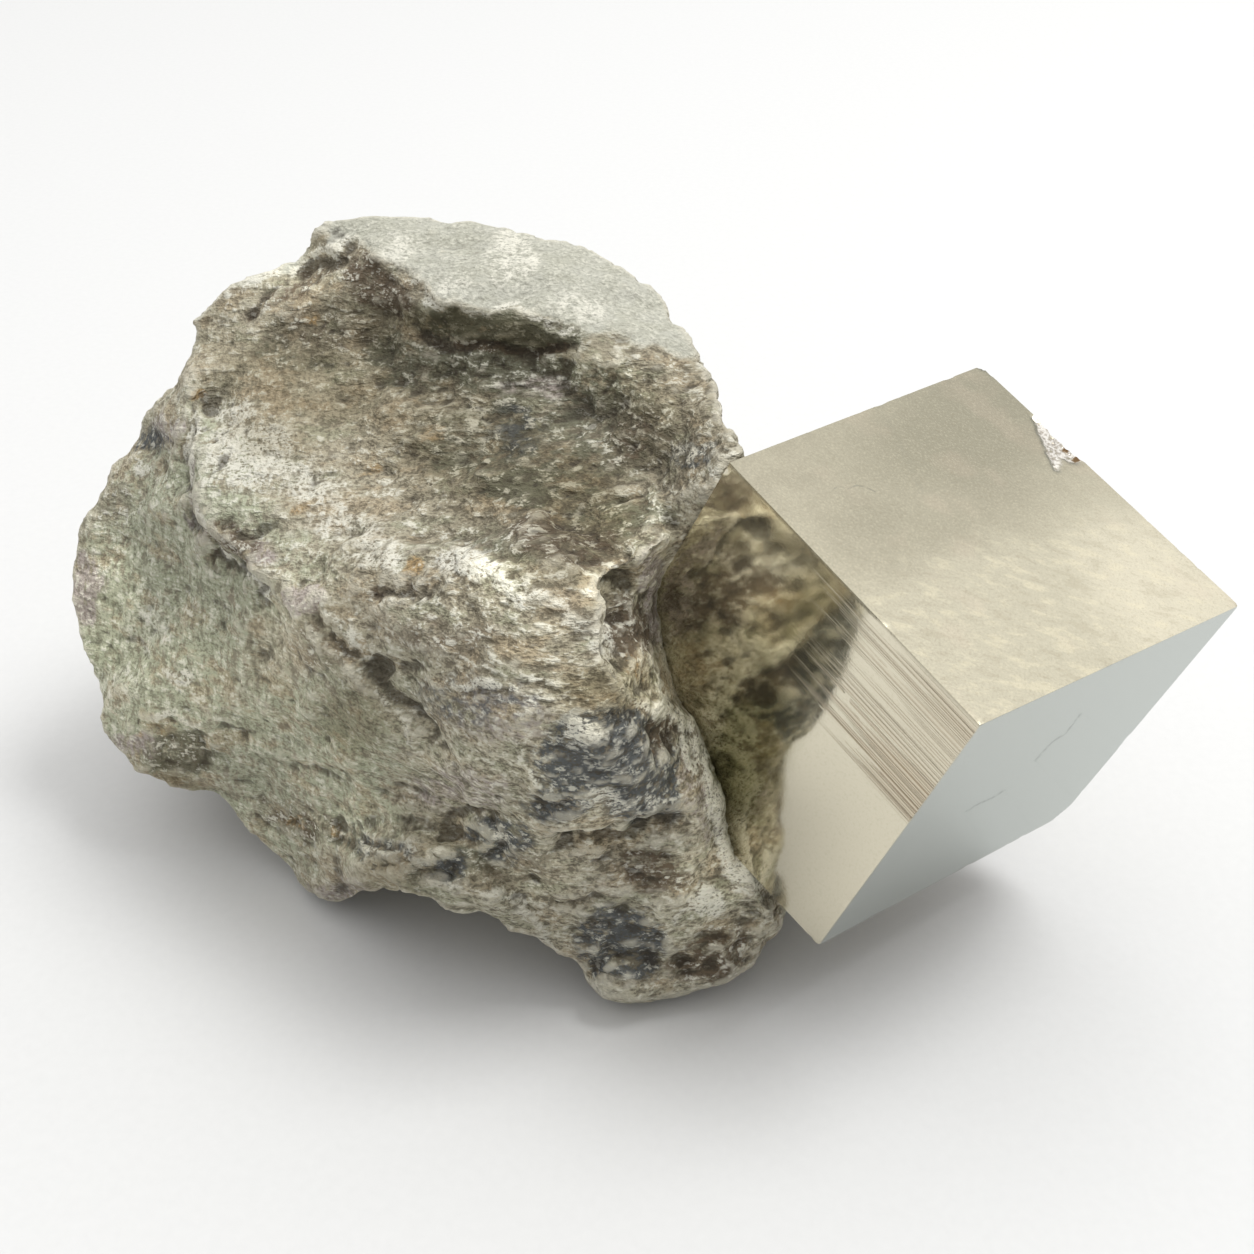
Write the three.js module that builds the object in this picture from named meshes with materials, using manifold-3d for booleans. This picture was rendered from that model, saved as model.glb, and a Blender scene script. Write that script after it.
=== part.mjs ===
// A single pyrite cube grown into a lump of foliated grey-green marl, resting on three low feet.
// Working frame in mm: x to the right, y to the back, z up from the table.

import * as THREE from 'three';
import { ConvexHull } from 'three/addons/math/ConvexHull.js';
import { ImprovedNoise } from 'three/addons/math/ImprovedNoise.js';
import { mergeVertices } from 'three/addons/utils/BufferGeometryUtils.js';
import Module from 'manifold-3d';

const wasm = await Module();
wasm.setup();

// Crystal
const CUBE_SIDE = 25;
const CUBE_WIDTH = 26.3;
const CUBE_DEPTH_LEFT = 23.1;
const CUBE_DEPTH_RIGHT = 25.1;
const CUBE_SKEW = 1.66;
const CUBE_ROOT_SPREAD = 2.1;
const CUBE_ROOT_DROP = 2;
const CUBE_FRONT_CORNER = new THREE.Vector3(20.5, -22.4, 33.2);
const CUBE_ROLL_DEG = 20.7;
const CUBE_PITCH_DEG = 4.8;
const CUBE_TURN_DEG = 42.2;
const WORN_CORNER = 1.6;
const WORN_BACK_CORNER = 0.5;
const SEAT_GAP = 0.3;

// Chip in the back-right top edge, measured along that edge from the back corner
const CHIP_START = 5.6;
const CHIP_END = 10.5;
const CHIP_REACH = 3;
const CHIP_DEPTH = 0.45;
const CHIP_OUTER_DEPTH = 0.85;

// Stone
const STONE_EDGE = 2.35;
const CREASE_KEPT = 0.32;
const LUMP_SIZE = 11;
const LUMP_HEIGHT = 0.7;
const FLAKE_SIZE = 4.6;
const FLAKE_HEIGHT = 0.55;
const FLAKE_STRETCH = 2.2;
const GRIT_SIZE = 2.6;
const GRIT_HEIGHT = 0.25;
const CALM_MIDDLE = new THREE.Vector3(5, -4, 32);
const CALM_INNER = 9;
const CALM_OUTER = 15;
const CALM_SHARE = 0.35;
const FLOOR_DROP = 12;
const FLOOR_SPAN = 200;

// From this point all of the broken front of the stone is in sight, and none of its back
const FRONT_EYE = new THREE.Vector3(0, -100, 94.5);
const FRONT_EYE_DIP_DEG = 35;

// Skyline of the stone, once round: left, top, right behind the crystal, and the lower edge
const SKYLINE = [
  [-39, 2.5, 8.5], [-41.7, 4.3, 10.5], [-42.2, 6.5, 12.9], [-43.8, 10, 16.2], [-44.6, 12, 19.6],
  [-43.4, 14, 23.2], [-40.8, 17, 26.9], [-38.4, 20, 30.6], [-35.6, 22, 33.6], [-33.6, 21.4, 36.1],
  [-34.3, 22, 38.3], [-32.4, 23.5, 39.9], [-29, 25, 41.4], [-26.2, 27, 41.6], [-24.4, 27.2, 44.2],
  [-21.5, 27.7, 44.7], [-18, 28, 45], [-15.4, 28.2, 45.2], [-9.9, 27.2, 44.5], [-5, 25.2, 43.9],
  [-0.3, 21.8, 42.9], [2.8, 18.2, 41.9], [5, 13.2, 41], [6.4, 9, 41], [6.5, 4, 40.8], [6.6, 0, 41],
  [7.8, -3.6, 41], [9.5, 2, 36], [11.5, 7, 29], [13, 12, 20], [14, 11, 12], [14.5, 6, 5], [13.6, -3, 3],
  [11.6, -8, 5], [10.8, -11, 3.9], [9.9, -12, 2.2], [8.4, -12.8, 0.9], [4.6, -13.6, -0.1],
  [1.7, -13.7, -0.2], [-1.2, -13.8, 0.3], [-4.9, -12.1, 2.6], [-8, -10.4, 3.4], [-10.9, -8.9, 3.6],
  [-14.9, -6.3, 3.6], [-20, -3.6, 1.2], [-22.1, -3.7, -0.2], [-24.1, -3.2, -0.2], [-27.1, -1.5, 0.8],
  [-30, 0.4, 3.3], [-32.4, 1.7, 6.7], [-35.8, 2, 7.8],
];
// Pale cap slab, its front lip, and the wall under the lip
const CAP = [
  [-18, 23.5, 44], [-12, 20, 43.8], [-6, 18.5, 43.2], [0, 15, 42], [-22.8, 23.6, 43.6],
  [-19.5, 21.6, 43.4], [-16.1, 18.2, 43], [-14.4, 15, 42.8], [-11.8, 14.1, 42.6], [-9.2, 13.3, 42.4],
  [-5.6, 11.9, 42.2], [-2.6, 10.4, 41.8], [1.6, 10, 41.4], [-10, 24, 44.1],
];
const WALL_FOOT = [
  [-22.5, 22.4, 41.6], [-19.7, 21, 40.3], [-15.5, 16.6, 39.4], [-12.3, 15, 39.3], [-9.3, 13.8, 39.1],
  [-6.3, 12.3, 39.2], [-3.4, 10.7, 39.3], [1.6, 8.5, 39.9],
];
// Wide scoop between the cap and the middle ridge
const SCOOP = [
  [-29.6, 22.6, 38.8], [-25.5, 23, 39.6], [-28.8, 18.8, 36.6], [-25.1, 19, 37.2], [-22, 18.6, 37.9],
  [-27.4, 12.4, 34.8], [-26, 5.5, 31.9], [-23, 10, 34], [-20.7, 14, 35.4], [-20.1, 7, 32.6],
  [-20.8, 0, 30.6], [-17, 15, 37], [-14.5, 12, 36.5], [-14, 5, 33.7], [-13.4, -2, 33],
  [-17, 2.5, 32.2], [-10.8, 8.5, 35.9], [-7.6, 8, 36.9], [-7.3, 0.5, 34.7], [-10.2, -3, 34],
  [-4.5, 6.3, 37], [-1.9, 4, 36.9], [-4.3, -2.6, 34.9], [-1.8, -5, 35.2], [1.6, -1.6, 36.1],
  [3, 3, 38.3], [3.6, 6.4, 39.7], [4.8, -2, 38.6], [5.6, -4.6, 39.8],
];
// Sharp standing edge on the left and the greener face beyond it
const LEFT_EDGE = [
  [-33.2, 18.8, 35.9], [-33, 16.4, 36], [-32.1, 12, 35], [-31.2, 8.2, 33.5], [-30.8, 4.8, 32.3],
  [-29.3, 2.3, 31.2], [-26.8, -0.2, 30.3], [-24.2, -2.6, 27.9], [-20.6, -5, 26.2], [-17.3, -8, 27],
];
const LEFT_FACE = [
  [-34.6, 13.5, 29.7], [-38.6, 13, 25.5], [-33.7, 8.4, 25.4], [-38.4, 8.6, 21.6], [-31.6, 2.4, 21],
  [-35, 5.2, 19.6], [-38.5, 4.7, 15.5], [-32.5, 0.7, 13.9], [-26.1, -0.5, 25.4], [-27.8, -1, 11],
  [-23.5, -3, 20.2], [-29.6, 3.6, 27.6], [-32.2, 16, 32.8],
];
const MID_RIDGE = [
  [-23.6, -1.6, 29.9], [-20.9, -4, 29.7], [-17.1, -6.2, 31.9], [-13.6, -6.8, 33], [-9.5, -8.2, 35.1],
  [-5.5, -9.7, 35.4], [-1.6, -10.6, 34.8],
];
// Rim that stands clear of the crystal, the recess inside it, and the line where stone meets crystal
const RIM = [
  [1, -8.6, 35.8], [2.8, -6.7, 36], [-1.5, -12.6, 33.6], [-1.1, -14, 32.1], [0, -15, 30.3],
  [1.3, -13.5, 27.7], [3.1, -10.5, 24.3],
];
const RECESS = [
  [-0.1, -8.2, 32.3], [1.6, -6.2, 33.2], [0.9, -7.6, 28.8], [2.2, -7.4, 25.4], [0.6, -11, 29.6],
];
const CONTACT = [
  [5.2, -5, 38.6], [4.5, -4.4, 36.6], [3.5, -3.7, 34.6], [2.5, -3, 32], [1.9, -2.7, 28],
  [2.5, -3.6, 24.9], [3.4, -5.1, 21.9], [4.9, -6.8, 20.8], [5.7, -8, 19], [6.8, -9.5, 16.1],
  [7.6, -10.9, 12.2], [9.1, -12.7, 10.5], [10.4, -14, 10.7],
];
const INSIDE_CRYSTAL = [
  [8, -3, 37], [7, 1, 30], [7, 2, 24], [9, -2, 18], [11, -6, 13], [12.4, -9, 9.5],
];
// Steep front under the middle ridge
const FRONT = [
  [-9.3, -12.5, 31.5], [-4.2, -14, 32.5], [-5.4, -16, 30.2], [-1.7, -17, 27.7], [2.2, -13, 22.8],
  [-13, -12, 24.6], [-9.6, -14.5, 22.4], [-4.3, -16, 22], [0.9, -15, 19.4], [5, -12.5, 16.2],
  [-8.8, -12.5, 13.5], [-13.9, -10, 14], [-1.9, -14.4, 13.3], [3.7, -14, 11.1], [6.6, -13.6, 6.7],
  [-4.8, -12.6, 6.7], [0.9, -14, 5.2], [-18.6, -7.5, 20.1], [-20.3, -6.5, 10.9], [-16.9, -7, 6.4],
  [-22.7, -4.7, 4], [-14.8, -9.6, 29.6], [9, -13, 6],
];
// Back and underside
const BACK = [
  [6, 17, 34], [2.5, 22, 34], [-5, 29, 36], [-15, 32, 37], [-25, 31, 35], [-33, 27, 30], [-40, 21, 22],
  [-42, 16, 12], [-34, 27, 15], [-22, 33, 18], [-8, 34, 20], [4, 28, 20], [11, 20, 15], [-37, 19, 3.5],
  [-27, 28, 5], [-12, 31, 5], [2, 26, 5], [11, 18, 4], [8, 12, 33], [-33, 24.6, 36.4],
];
const FEET = [
  [-23.5, -1.2, -1.6], [-21, 0.5, -1.6], [-1, -11, -1.4], [1.7, -11.5, -1.6], [5, -11, -1.6],
  [3, -8, -1.2], [10, 9, -1.6], [5, 13, -1.6], [-6, 25, -1.6], [-12, 23, -1.4], [-28, 20, -1.6],
  [-24, 17, -1.4],
];
const UNDERSIDE = [
  [-14, 8, 2.4], [-5, -3, 3.2], [-16, 0, 2.8], [-34, 8, 5], [-36, 13, 4.2], [2, 3, 2.8], [10, -3, 3],
  [-26, 8, 2.8], [-4, 12, 2.6],
];
// Pits and cracks, each with its middle, width and depth
const DENTS = [
  { at: [-0.2, -8.6, 33.4], wide: 2.2, deep: 1.6 },
  { at: [-15.6, -9.6, 26.6], wide: 2.4, deep: 1.2 },
  { at: [-14.2, -10.6, 24.2], wide: 2.2, deep: 1.1 },
  { at: [-12.6, -11, 17], wide: 2.6, deep: 0.9 },
  { at: [-8.6, -13.6, 17.6], wide: 2.6, deep: 1 },
  { at: [-1.4, -15.4, 17.4], wide: 2.4, deep: 0.9 },
  { at: [1.6, -14.6, 16.4], wide: 2.4, deep: 0.9 },
];

// Turn a manifold solid back into a drawable geometry
function toGeometry(solid) {
  const mesh = solid.getMesh();
  const geometry = new THREE.BufferGeometry();
  geometry.setAttribute('position', new THREE.BufferAttribute(mesh.vertProperties.slice(), mesh.numProp));
  geometry.setIndex(new THREE.BufferAttribute(mesh.triVerts.slice(), 1));
  geometry.computeVertexNormals();
  return geometry;
}

// Hand a list of corners and triangles to manifold
function toSolid(corners, triangles) {
  const vertProperties = new Float32Array(corners.flatMap((corner) => [corner.x, corner.y, corner.z]));
  const triVerts = new Uint32Array(triangles.flat());
  return new wasm.Manifold(new wasm.Mesh({ numProp: 3, vertProperties, triVerts }));
}

// Triangles of the convex hull of some corners, as indices into them
function hullTriangles(corners) {
  const hull = new ConvexHull().setFromPoints(corners);
  const order = new Map(corners.map((corner, index) => [corner, index]));
  return hull.faces.map((face) => {
    const first = face.edge;
    return [first, first.next, first.next.next].map((edge) => order.get(edge.head().point));
  });
}

function hullSolid(corners) {
  return toSolid(corners, hullTriangles(corners));
}

// Crystal in its own axes: x along the front-right edge, y along the front-left edge, z up
function crystalCorners() {
  const topFront = new THREE.Vector3(0, 0, 0);
  const topLeft = new THREE.Vector3(0, CUBE_DEPTH_LEFT, 0);
  const topRight = new THREE.Vector3(CUBE_WIDTH, -CUBE_SKEW, 0);
  const topBack = new THREE.Vector3(CUBE_WIDTH, CUBE_DEPTH_RIGHT - CUBE_SKEW, 0);
  const lowFront = new THREE.Vector3(0, 0, -CUBE_SIDE);
  const lowRight = new THREE.Vector3(CUBE_WIDTH, -CUBE_SKEW, -CUBE_SIDE);
  const lowLeft = new THREE.Vector3(0, CUBE_DEPTH_LEFT + CUBE_ROOT_SPREAD, -CUBE_SIDE - CUBE_ROOT_DROP);
  const lowBack = topBack.clone().add(new THREE.Vector3(0, CUBE_ROOT_SPREAD, -CUBE_SIDE - CUBE_ROOT_DROP));
  return { topFront, topLeft, topRight, topBack, lowFront, lowRight, lowLeft, lowBack };
}

// Three points that replace a corner, each a given way toward one neighbour
function wear(corner, neighbours, amount) {
  return neighbours.map((neighbour) => {
    const way = neighbour.clone().sub(corner).normalize();
    return corner.clone().addScaledVector(way, amount);
  });
}

const crystalPlace = new THREE.Matrix4().makeRotationFromEuler(new THREE.Euler(
  THREE.MathUtils.degToRad(CUBE_ROLL_DEG),
  THREE.MathUtils.degToRad(CUBE_PITCH_DEG),
  THREE.MathUtils.degToRad(CUBE_TURN_DEG),
  'ZYX',
)).setPosition(CUBE_FRONT_CORNER);

function makeCrystal() {
  const c = crystalCorners();
  const worn = [
    ...wear(c.lowRight, [c.lowFront, c.topRight, c.lowBack], WORN_CORNER),
    ...wear(c.topBack, [c.topLeft, c.topRight, c.lowBack], WORN_BACK_CORNER),
  ];
  const corners = [c.topFront, c.topLeft, c.topRight, c.lowFront, c.lowLeft, c.lowBack, ...worn];
  const body = hullSolid(corners.map((corner) => corner.applyMatrix4(crystalPlace)));
  return body.subtract(makeChip());
}

// The chip is a flat wedge that bites the back-right top edge
function makeChip() {
  const edgeX = CUBE_WIDTH;
  const backY = CUBE_DEPTH_RIGHT - CUBE_SKEW;
  const over = 0.5;
  const wedge = [
    new THREE.Vector3(edgeX + over, backY - CHIP_START, over),
    new THREE.Vector3(edgeX + over, backY - CHIP_END, over),
    new THREE.Vector3(edgeX - CHIP_REACH, backY - CHIP_END + 0.1, over),
    new THREE.Vector3(edgeX + over, backY - CHIP_START - 0.2, -CHIP_OUTER_DEPTH),
    new THREE.Vector3(edgeX + over, backY - CHIP_END + 0.4, -CHIP_OUTER_DEPTH),
    new THREE.Vector3(edgeX - CHIP_REACH + 0.3, backY - CHIP_END + 0.2, -CHIP_DEPTH),
  ];
  return hullSolid(wedge.map((corner) => corner.applyMatrix4(crystalPlace)));
}

// The socket is the crystal without wear or chip, a little larger, so that the stone clears it
function makeSocket() {
  const corners = Object.values(crystalCorners());
  const middle = corners.reduce((sum, corner) => sum.add(corner), new THREE.Vector3()).divideScalar(corners.length);
  const growth = 1 + (2 * SEAT_GAP) / CUBE_SIDE;
  const grown = corners.map((corner) => corner.clone().sub(middle).multiplyScalar(growth).add(middle));
  return hullSolid(grown.map((corner) => corner.applyMatrix4(crystalPlace)));
}

// Split every edge longer than the limit at its middle, again and again
function refine(corners, triangles, limit) {
  let current = triangles;
  for (;;) {
    const middles = new Map();
    const middleOf = (a, b) => {
      const key = a < b ? `${a}_${b}` : `${b}_${a}`;
      if (corners[a].distanceTo(corners[b]) <= limit) return -1;
      if (!middles.has(key)) {
        middles.set(key, corners.length);
        corners.push(corners[a].clone().add(corners[b]).multiplyScalar(0.5));
      }
      return middles.get(key);
    };
    const next = [];
    for (const [a, b, c] of current) {
      const ab = middleOf(a, b);
      const bc = middleOf(b, c);
      const ca = middleOf(c, a);
      next.push(...splitTriangle(a, b, c, ab, bc, ca));
    }
    current = next;
    if (middles.size === 0) return current;
  }
}

// One triangle with none, one, two or three of its edges split
function splitTriangle(a, b, c, ab, bc, ca) {
  const count = [ab, bc, ca].filter((middle) => middle >= 0).length;
  if (count === 0) return [[a, b, c]];
  if (count === 3) return [[a, ab, ca], [ab, b, bc], [ca, bc, c], [ab, bc, ca]];
  if (ab >= 0 && bc >= 0) return [[ab, b, bc], [a, ab, bc], [a, bc, c]];
  if (bc >= 0 && ca >= 0) return [[bc, c, ca], [b, bc, ca], [b, ca, a]];
  if (ca >= 0 && ab >= 0) return [[ca, a, ab], [c, ca, ab], [c, ab, b]];
  if (ab >= 0) return [[a, ab, c], [ab, b, c]];
  if (bc >= 0) return [[b, bc, a], [bc, c, a]];
  return [[c, ca, b], [ca, a, b]];
}

// Pull every corner part of the way to the middle of its neighbours
function soften(corners, triangles, amount) {
  const sums = corners.map(() => new THREE.Vector3());
  const counts = corners.map(() => 0);
  for (const [a, b, c] of triangles) {
    for (const [from, to] of [[a, b], [b, c], [c, a]]) {
      sums[from].add(corners[to]);
      counts[from] += 1;
    }
  }
  corners.forEach((corner, index) => {
    corner.lerp(sums[index].divideScalar(counts[index]), amount);
  });
}

// How far the pits and cracks take a point of the surface inward
function dentDepth(point) {
  return DENTS.reduce((sum, dent) => {
    const away = point.distanceTo(new THREE.Vector3(...dent.at)) / dent.wide;
    return sum + dent.deep * Math.exp(-away * away);
  }, 0);
}

function outwardNormals(corners, triangles) {
  const normals = corners.map(() => new THREE.Vector3());
  for (const [a, b, c] of triangles) {
    const first = corners[b].clone().sub(corners[a]);
    const face = first.cross(corners[c].clone().sub(corners[a]));
    for (const index of [a, b, c]) normals[index].add(face);
  }
  normals.forEach((normal) => normal.normalize());
  return normals;
}

// Lumps, flakes along the foliation, and grit, calmer where the stone closes on the crystal
const noise = new ImprovedNoise();
function relief(point) {
  const lump = noise.noise(point.x / LUMP_SIZE, point.y / LUMP_SIZE, point.z / LUMP_SIZE + 3);
  const along = (point.x + 0.35 * point.z) / (FLAKE_SIZE * FLAKE_STRETCH);
  const across = (point.z - 0.25 * point.x) / FLAKE_SIZE;
  const flake = 1 - 2 * Math.abs(noise.noise(along, point.y / FLAKE_SIZE, across));
  const grit = noise.noise(point.x / GRIT_SIZE, point.y / GRIT_SIZE + 7, point.z / GRIT_SIZE);
  const away = THREE.MathUtils.smoothstep(point.distanceTo(CALM_MIDDLE), CALM_INNER, CALM_OUTER);
  const share = CALM_SHARE + (1 - CALM_SHARE) * away;
  return share * (LUMP_HEIGHT * lump + FLAKE_HEIGHT * (flake - 0.6) + GRIT_HEIGHT * grit);
}

// Where a point lies across the view from the eye, as slopes to the right and up
function acrossView(point) {
  const dip = THREE.MathUtils.degToRad(FRONT_EYE_DIP_DEG);
  const seen = point.clone().sub(FRONT_EYE);
  const far = seen.y * Math.cos(dip) - seen.z * Math.sin(dip);
  const rise = seen.y * Math.sin(dip) + seen.z * Math.cos(dip);
  return new THREE.Vector2(seen.x / far, rise / far);
}

function isInside(spot, loop) {
  let inside = false;
  loop.forEach((from, index) => {
    const to = loop[(index + 1) % loop.length];
    const crosses = from.y > spot.y !== to.y > spot.y;
    if (crosses && spot.x < ((to.x - from.x) * (spot.y - from.y)) / (to.y - from.y) + from.x) inside = !inside;
  });
  return inside;
}

// Join one side of the stone into triangles: corners that are neighbours in the view are joined
function sheetTriangles(corners, members, loop, facesEye) {
  const spots = corners.map((corner) => acrossView(corner).multiplyScalar(100));
  const lifted = members.map((index) => {
    const spot = spots[index];
    return new THREE.Vector3(spot.x, spot.y, spot.lengthSq() / 20);
  });
  const hull = new ConvexHull().setFromPoints(lifted);
  const order = new Map(lifted.map((point, index) => [point, members[index]]));
  const loopSpots = loop.map((index) => spots[index]);
  const triangles = [];
  for (const face of hull.faces) {
    if (face.normal.z >= -1e-6) continue;
    const [a, b, c] = [face.edge, face.edge.next, face.edge.next.next].map((edge) => order.get(edge.head().point));
    const centre = spots[a].clone().add(spots[b]).add(spots[c]).divideScalar(3);
    if (!isInside(centre, loopSpots)) continue;
    const turn = spots[b].clone().sub(spots[a]).cross(spots[c].clone().sub(spots[a]));
    triangles.push(turn > 0 === facesEye ? [a, b, c] : [a, c, b]);
  }
  return triangles;
}

function makeStoneBlank() {
  const front = [
    CAP, WALL_FOOT, SCOOP, LEFT_EDGE, LEFT_FACE, MID_RIDGE, RIM, RECESS, CONTACT, INSIDE_CRYSTAL, FRONT,
  ].flat();
  const back = [BACK, FEET, UNDERSIDE].flat();
  const corners = [...SKYLINE, ...front, ...back].map(([x, y, z]) => new THREE.Vector3(x, y, z));
  const range = (from, count) => Array.from({ length: count }, (unused, index) => from + index);
  const loop = range(0, SKYLINE.length);
  const frontMembers = [...loop, ...range(SKYLINE.length, front.length)];
  const backMembers = [...loop, ...range(SKYLINE.length + front.length, back.length)];
  let triangles = [
    ...sheetTriangles(corners, frontMembers, loop, true),
    ...sheetTriangles(corners, backMembers, loop, false),
  ];
  const label = (triangle) => [...triangle].sort((first, second) => first - second).join('_');
  const counts = new Map();
  for (const triangle of triangles) counts.set(label(triangle), (counts.get(label(triangle)) || 0) + 1);
  triangles = triangles.filter((triangle) => counts.get(label(triangle)) === 1);
  for (const limit of [4 * STONE_EDGE, 2 * STONE_EDGE, STONE_EDGE]) {
    triangles = refine(corners, triangles, limit);
    soften(corners, triangles, CREASE_KEPT);
    soften(corners, triangles, -CREASE_KEPT);
  }
  const normals = outwardNormals(corners, triangles);
  const shifts = corners.map((corner) => relief(corner) - dentDepth(corner));
  corners.forEach((corner, index) => corner.addScaledVector(normals[index], shifts[index]));
  return toSolid(corners, triangles);
}

// Everything below the table level is taken off, so the feet are flat
function makeFloorCut() {
  const half = FLOOR_SPAN / 2;
  const corners = [];
  for (const x of [-half, half]) {
    for (const y of [-half, half]) {
      for (const z of [-FLOOR_DROP, 0]) corners.push(new THREE.Vector3(x, y, z));
    }
  }
  return hullSolid(corners);
}

const group = new THREE.Group();

const crystalGeometry = toGeometry(makeCrystal());
const crystal = new THREE.Mesh(crystalGeometry, new THREE.MeshStandardMaterial({
  color: 0xcfc8a8, roughness: 0.25, metalness: 1,
}));
crystal.name = 'pyrite_cube';
group.add(crystal);

const stoneSolid = makeStoneBlank().subtract(makeFloorCut()).subtract(makeSocket());
const stonePieces = stoneSolid.decompose();
stonePieces.sort((first, second) => second.volume() - first.volume());
const stoneGeometry = toGeometry(stonePieces[0]);
const stone = new THREE.Mesh(stoneGeometry, new THREE.MeshStandardMaterial({
  color: 0x9c9a86, roughness: 0.95, metalness: 0,
}));
stone.name = 'matrix_rock';
group.add(stone);

// Centre the specimen over the origin, on the table
const box = new THREE.Box3();
for (const mesh of group.children) {
  mesh.geometry.deleteAttribute('normal');
  mesh.geometry = mergeVertices(mesh.geometry, 1e-4);
  mesh.geometry.computeVertexNormals();
  mesh.geometry.computeBoundingBox();
  box.union(mesh.geometry.boundingBox);
}
const middle = box.getCenter(new THREE.Vector3());
for (const mesh of group.children) mesh.geometry.translate(-middle.x, -middle.y, -box.min.z);

export default group;
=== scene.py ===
"""Looks of a pyrite cube grown into a lump of foliated grey-green marl."""
import bpy
import copy
import math
import numpy as np
from mathutils import Matrix, Vector, noise
from mathutils.bvhtree import BVHTree


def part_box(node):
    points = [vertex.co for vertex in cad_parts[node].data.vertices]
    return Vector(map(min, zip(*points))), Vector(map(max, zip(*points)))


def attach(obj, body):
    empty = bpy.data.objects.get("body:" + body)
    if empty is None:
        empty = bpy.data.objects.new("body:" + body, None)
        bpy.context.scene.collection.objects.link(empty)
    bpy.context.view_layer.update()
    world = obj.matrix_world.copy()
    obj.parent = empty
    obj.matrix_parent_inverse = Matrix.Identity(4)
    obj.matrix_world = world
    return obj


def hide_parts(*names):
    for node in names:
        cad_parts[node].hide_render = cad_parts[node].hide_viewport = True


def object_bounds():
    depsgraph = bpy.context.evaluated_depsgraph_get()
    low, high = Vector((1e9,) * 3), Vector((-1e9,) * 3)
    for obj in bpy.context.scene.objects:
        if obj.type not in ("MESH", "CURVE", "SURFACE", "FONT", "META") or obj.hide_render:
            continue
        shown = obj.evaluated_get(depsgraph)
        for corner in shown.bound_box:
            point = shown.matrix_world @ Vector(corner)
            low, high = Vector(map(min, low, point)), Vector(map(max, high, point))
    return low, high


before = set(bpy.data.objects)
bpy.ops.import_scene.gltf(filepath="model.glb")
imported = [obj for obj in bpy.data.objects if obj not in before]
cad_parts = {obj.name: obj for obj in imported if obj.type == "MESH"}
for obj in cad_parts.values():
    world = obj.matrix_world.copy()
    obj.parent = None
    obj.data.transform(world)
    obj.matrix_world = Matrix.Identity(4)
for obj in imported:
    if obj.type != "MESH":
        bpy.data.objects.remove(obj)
CAD_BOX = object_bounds()
MM = 0.001

# View of the specimen: a close camera in front of the stone, looking down
FRAME_PX = 1254
LENS_PX = 1700
VIEW_DIP = math.radians(35)
VIEW_FROM_CRYSTAL = Vector((2.76, -77.6, 87.22)) * MM

# Stone surface: its grid, and how far off the crystal it is drawn in and sunk
STONE_VOXEL = 0.37 * MM
SEAT_REACH = 0.75 * MM
SEAT_BITE = 0.04 * MM

# Edges of the stone, in pixels of the 1254 px frame
LIP_EDGE = [
    (360, 249), (366, 255), (376, 261), (394, 263), (407, 269), (415, 280), (425, 286), (428, 298),
    (445, 304), (466, 310), (486, 311), (511, 312), (532, 316), (552, 322), (567, 327), (583, 332),
]
LIP_RIGHT_EDGE = [(583, 332), (613, 331), (634, 337), (654, 343), (675, 351), (695, 363), (711, 369)]
LEFT_RIDGE = [(357, 247), (349, 243), (335, 248), (321, 256), (304, 266), (294, 274)]
LEFT_RIDGE_TOP = [(280, 272), (262, 276), (247, 283), (231, 287), (215, 298), (202, 312)]
STANDING_EDGE = [
    (199, 400), (200, 414), (195, 435), (193, 461), (195, 490), (197, 508), (203, 527), (215, 543),
    (231, 560), (244, 570), (256, 582), (264, 598),
]
MID_RIDGE = [
    (446, 560), (467, 560), (483, 567), (503, 575), (518, 591), (534, 599), (554, 607), (575, 616),
    (591, 626), (599, 642), (605, 660), (616, 675), (626, 687),
]
RIM_WEDGE = [(624, 682), (634, 690), (645, 699), (655, 706), (668, 713), (684, 719)]
RIM_BAND = [
    (684, 719), (692, 728), (698, 745), (708, 768), (716, 792), (720, 819), (728, 849), (740, 868),
    (750, 888),
]
RECESS_EDGE = [(622, 683), (613, 667), (605, 642), (603, 622), (605, 607), (601, 593), (604, 577)]
LOWER_RIM = [(480, 890), (500, 896), (517, 904), (532, 922), (547, 945), (572, 972), (606, 994)]

# The slab's whole edge, run on past the stone on both sides
CAP_LINE = ([(150, 420)] + LEFT_RIDGE_TOP[::-1] + LEFT_RIDGE[::-1] + LIP_EDGE
            + LIP_RIGHT_EDGE[1:] + [(900, 420)])

# Where the smooth wall under the slab's edge sets in and fades out, across the frame
WALL_SETS_IN, WALL_FADES_OUT = (405, 435), (590, 650)

# Crystal: its corners in mm, in the frame of the part
TOP_LEFT, TOP_FRONT = (8.13, -11.65, 41.34), (22.14, -28.11, 33.2)
TOP_RIGHT, TOP_BACK = (42.57, -11.69, 30.41), (27.35, 6.21, 39.257)
LOW_LEFT, LOW_FRONT = (-1.12, -4.5, 16.91), (14.76, -22.88, 9.9)
LOW_RIGHT, LOW_BACK = (35.23, -6.5, 7.262), (18.09, 13.35, 14.83)
TOP_RING = [TOP_LEFT, TOP_FRONT, TOP_RIGHT, TOP_BACK]
LOW_RING = [LOW_LEFT, LOW_FRONT, LOW_RIGHT, LOW_BACK]
LEFT_FACE_OUT = np.cross(np.subtract(TOP_LEFT, TOP_FRONT), np.subtract(LOW_FRONT, TOP_FRONT))
LEFT_FACE_OUT /= np.linalg.norm(LEFT_FACE_OUT)

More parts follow.
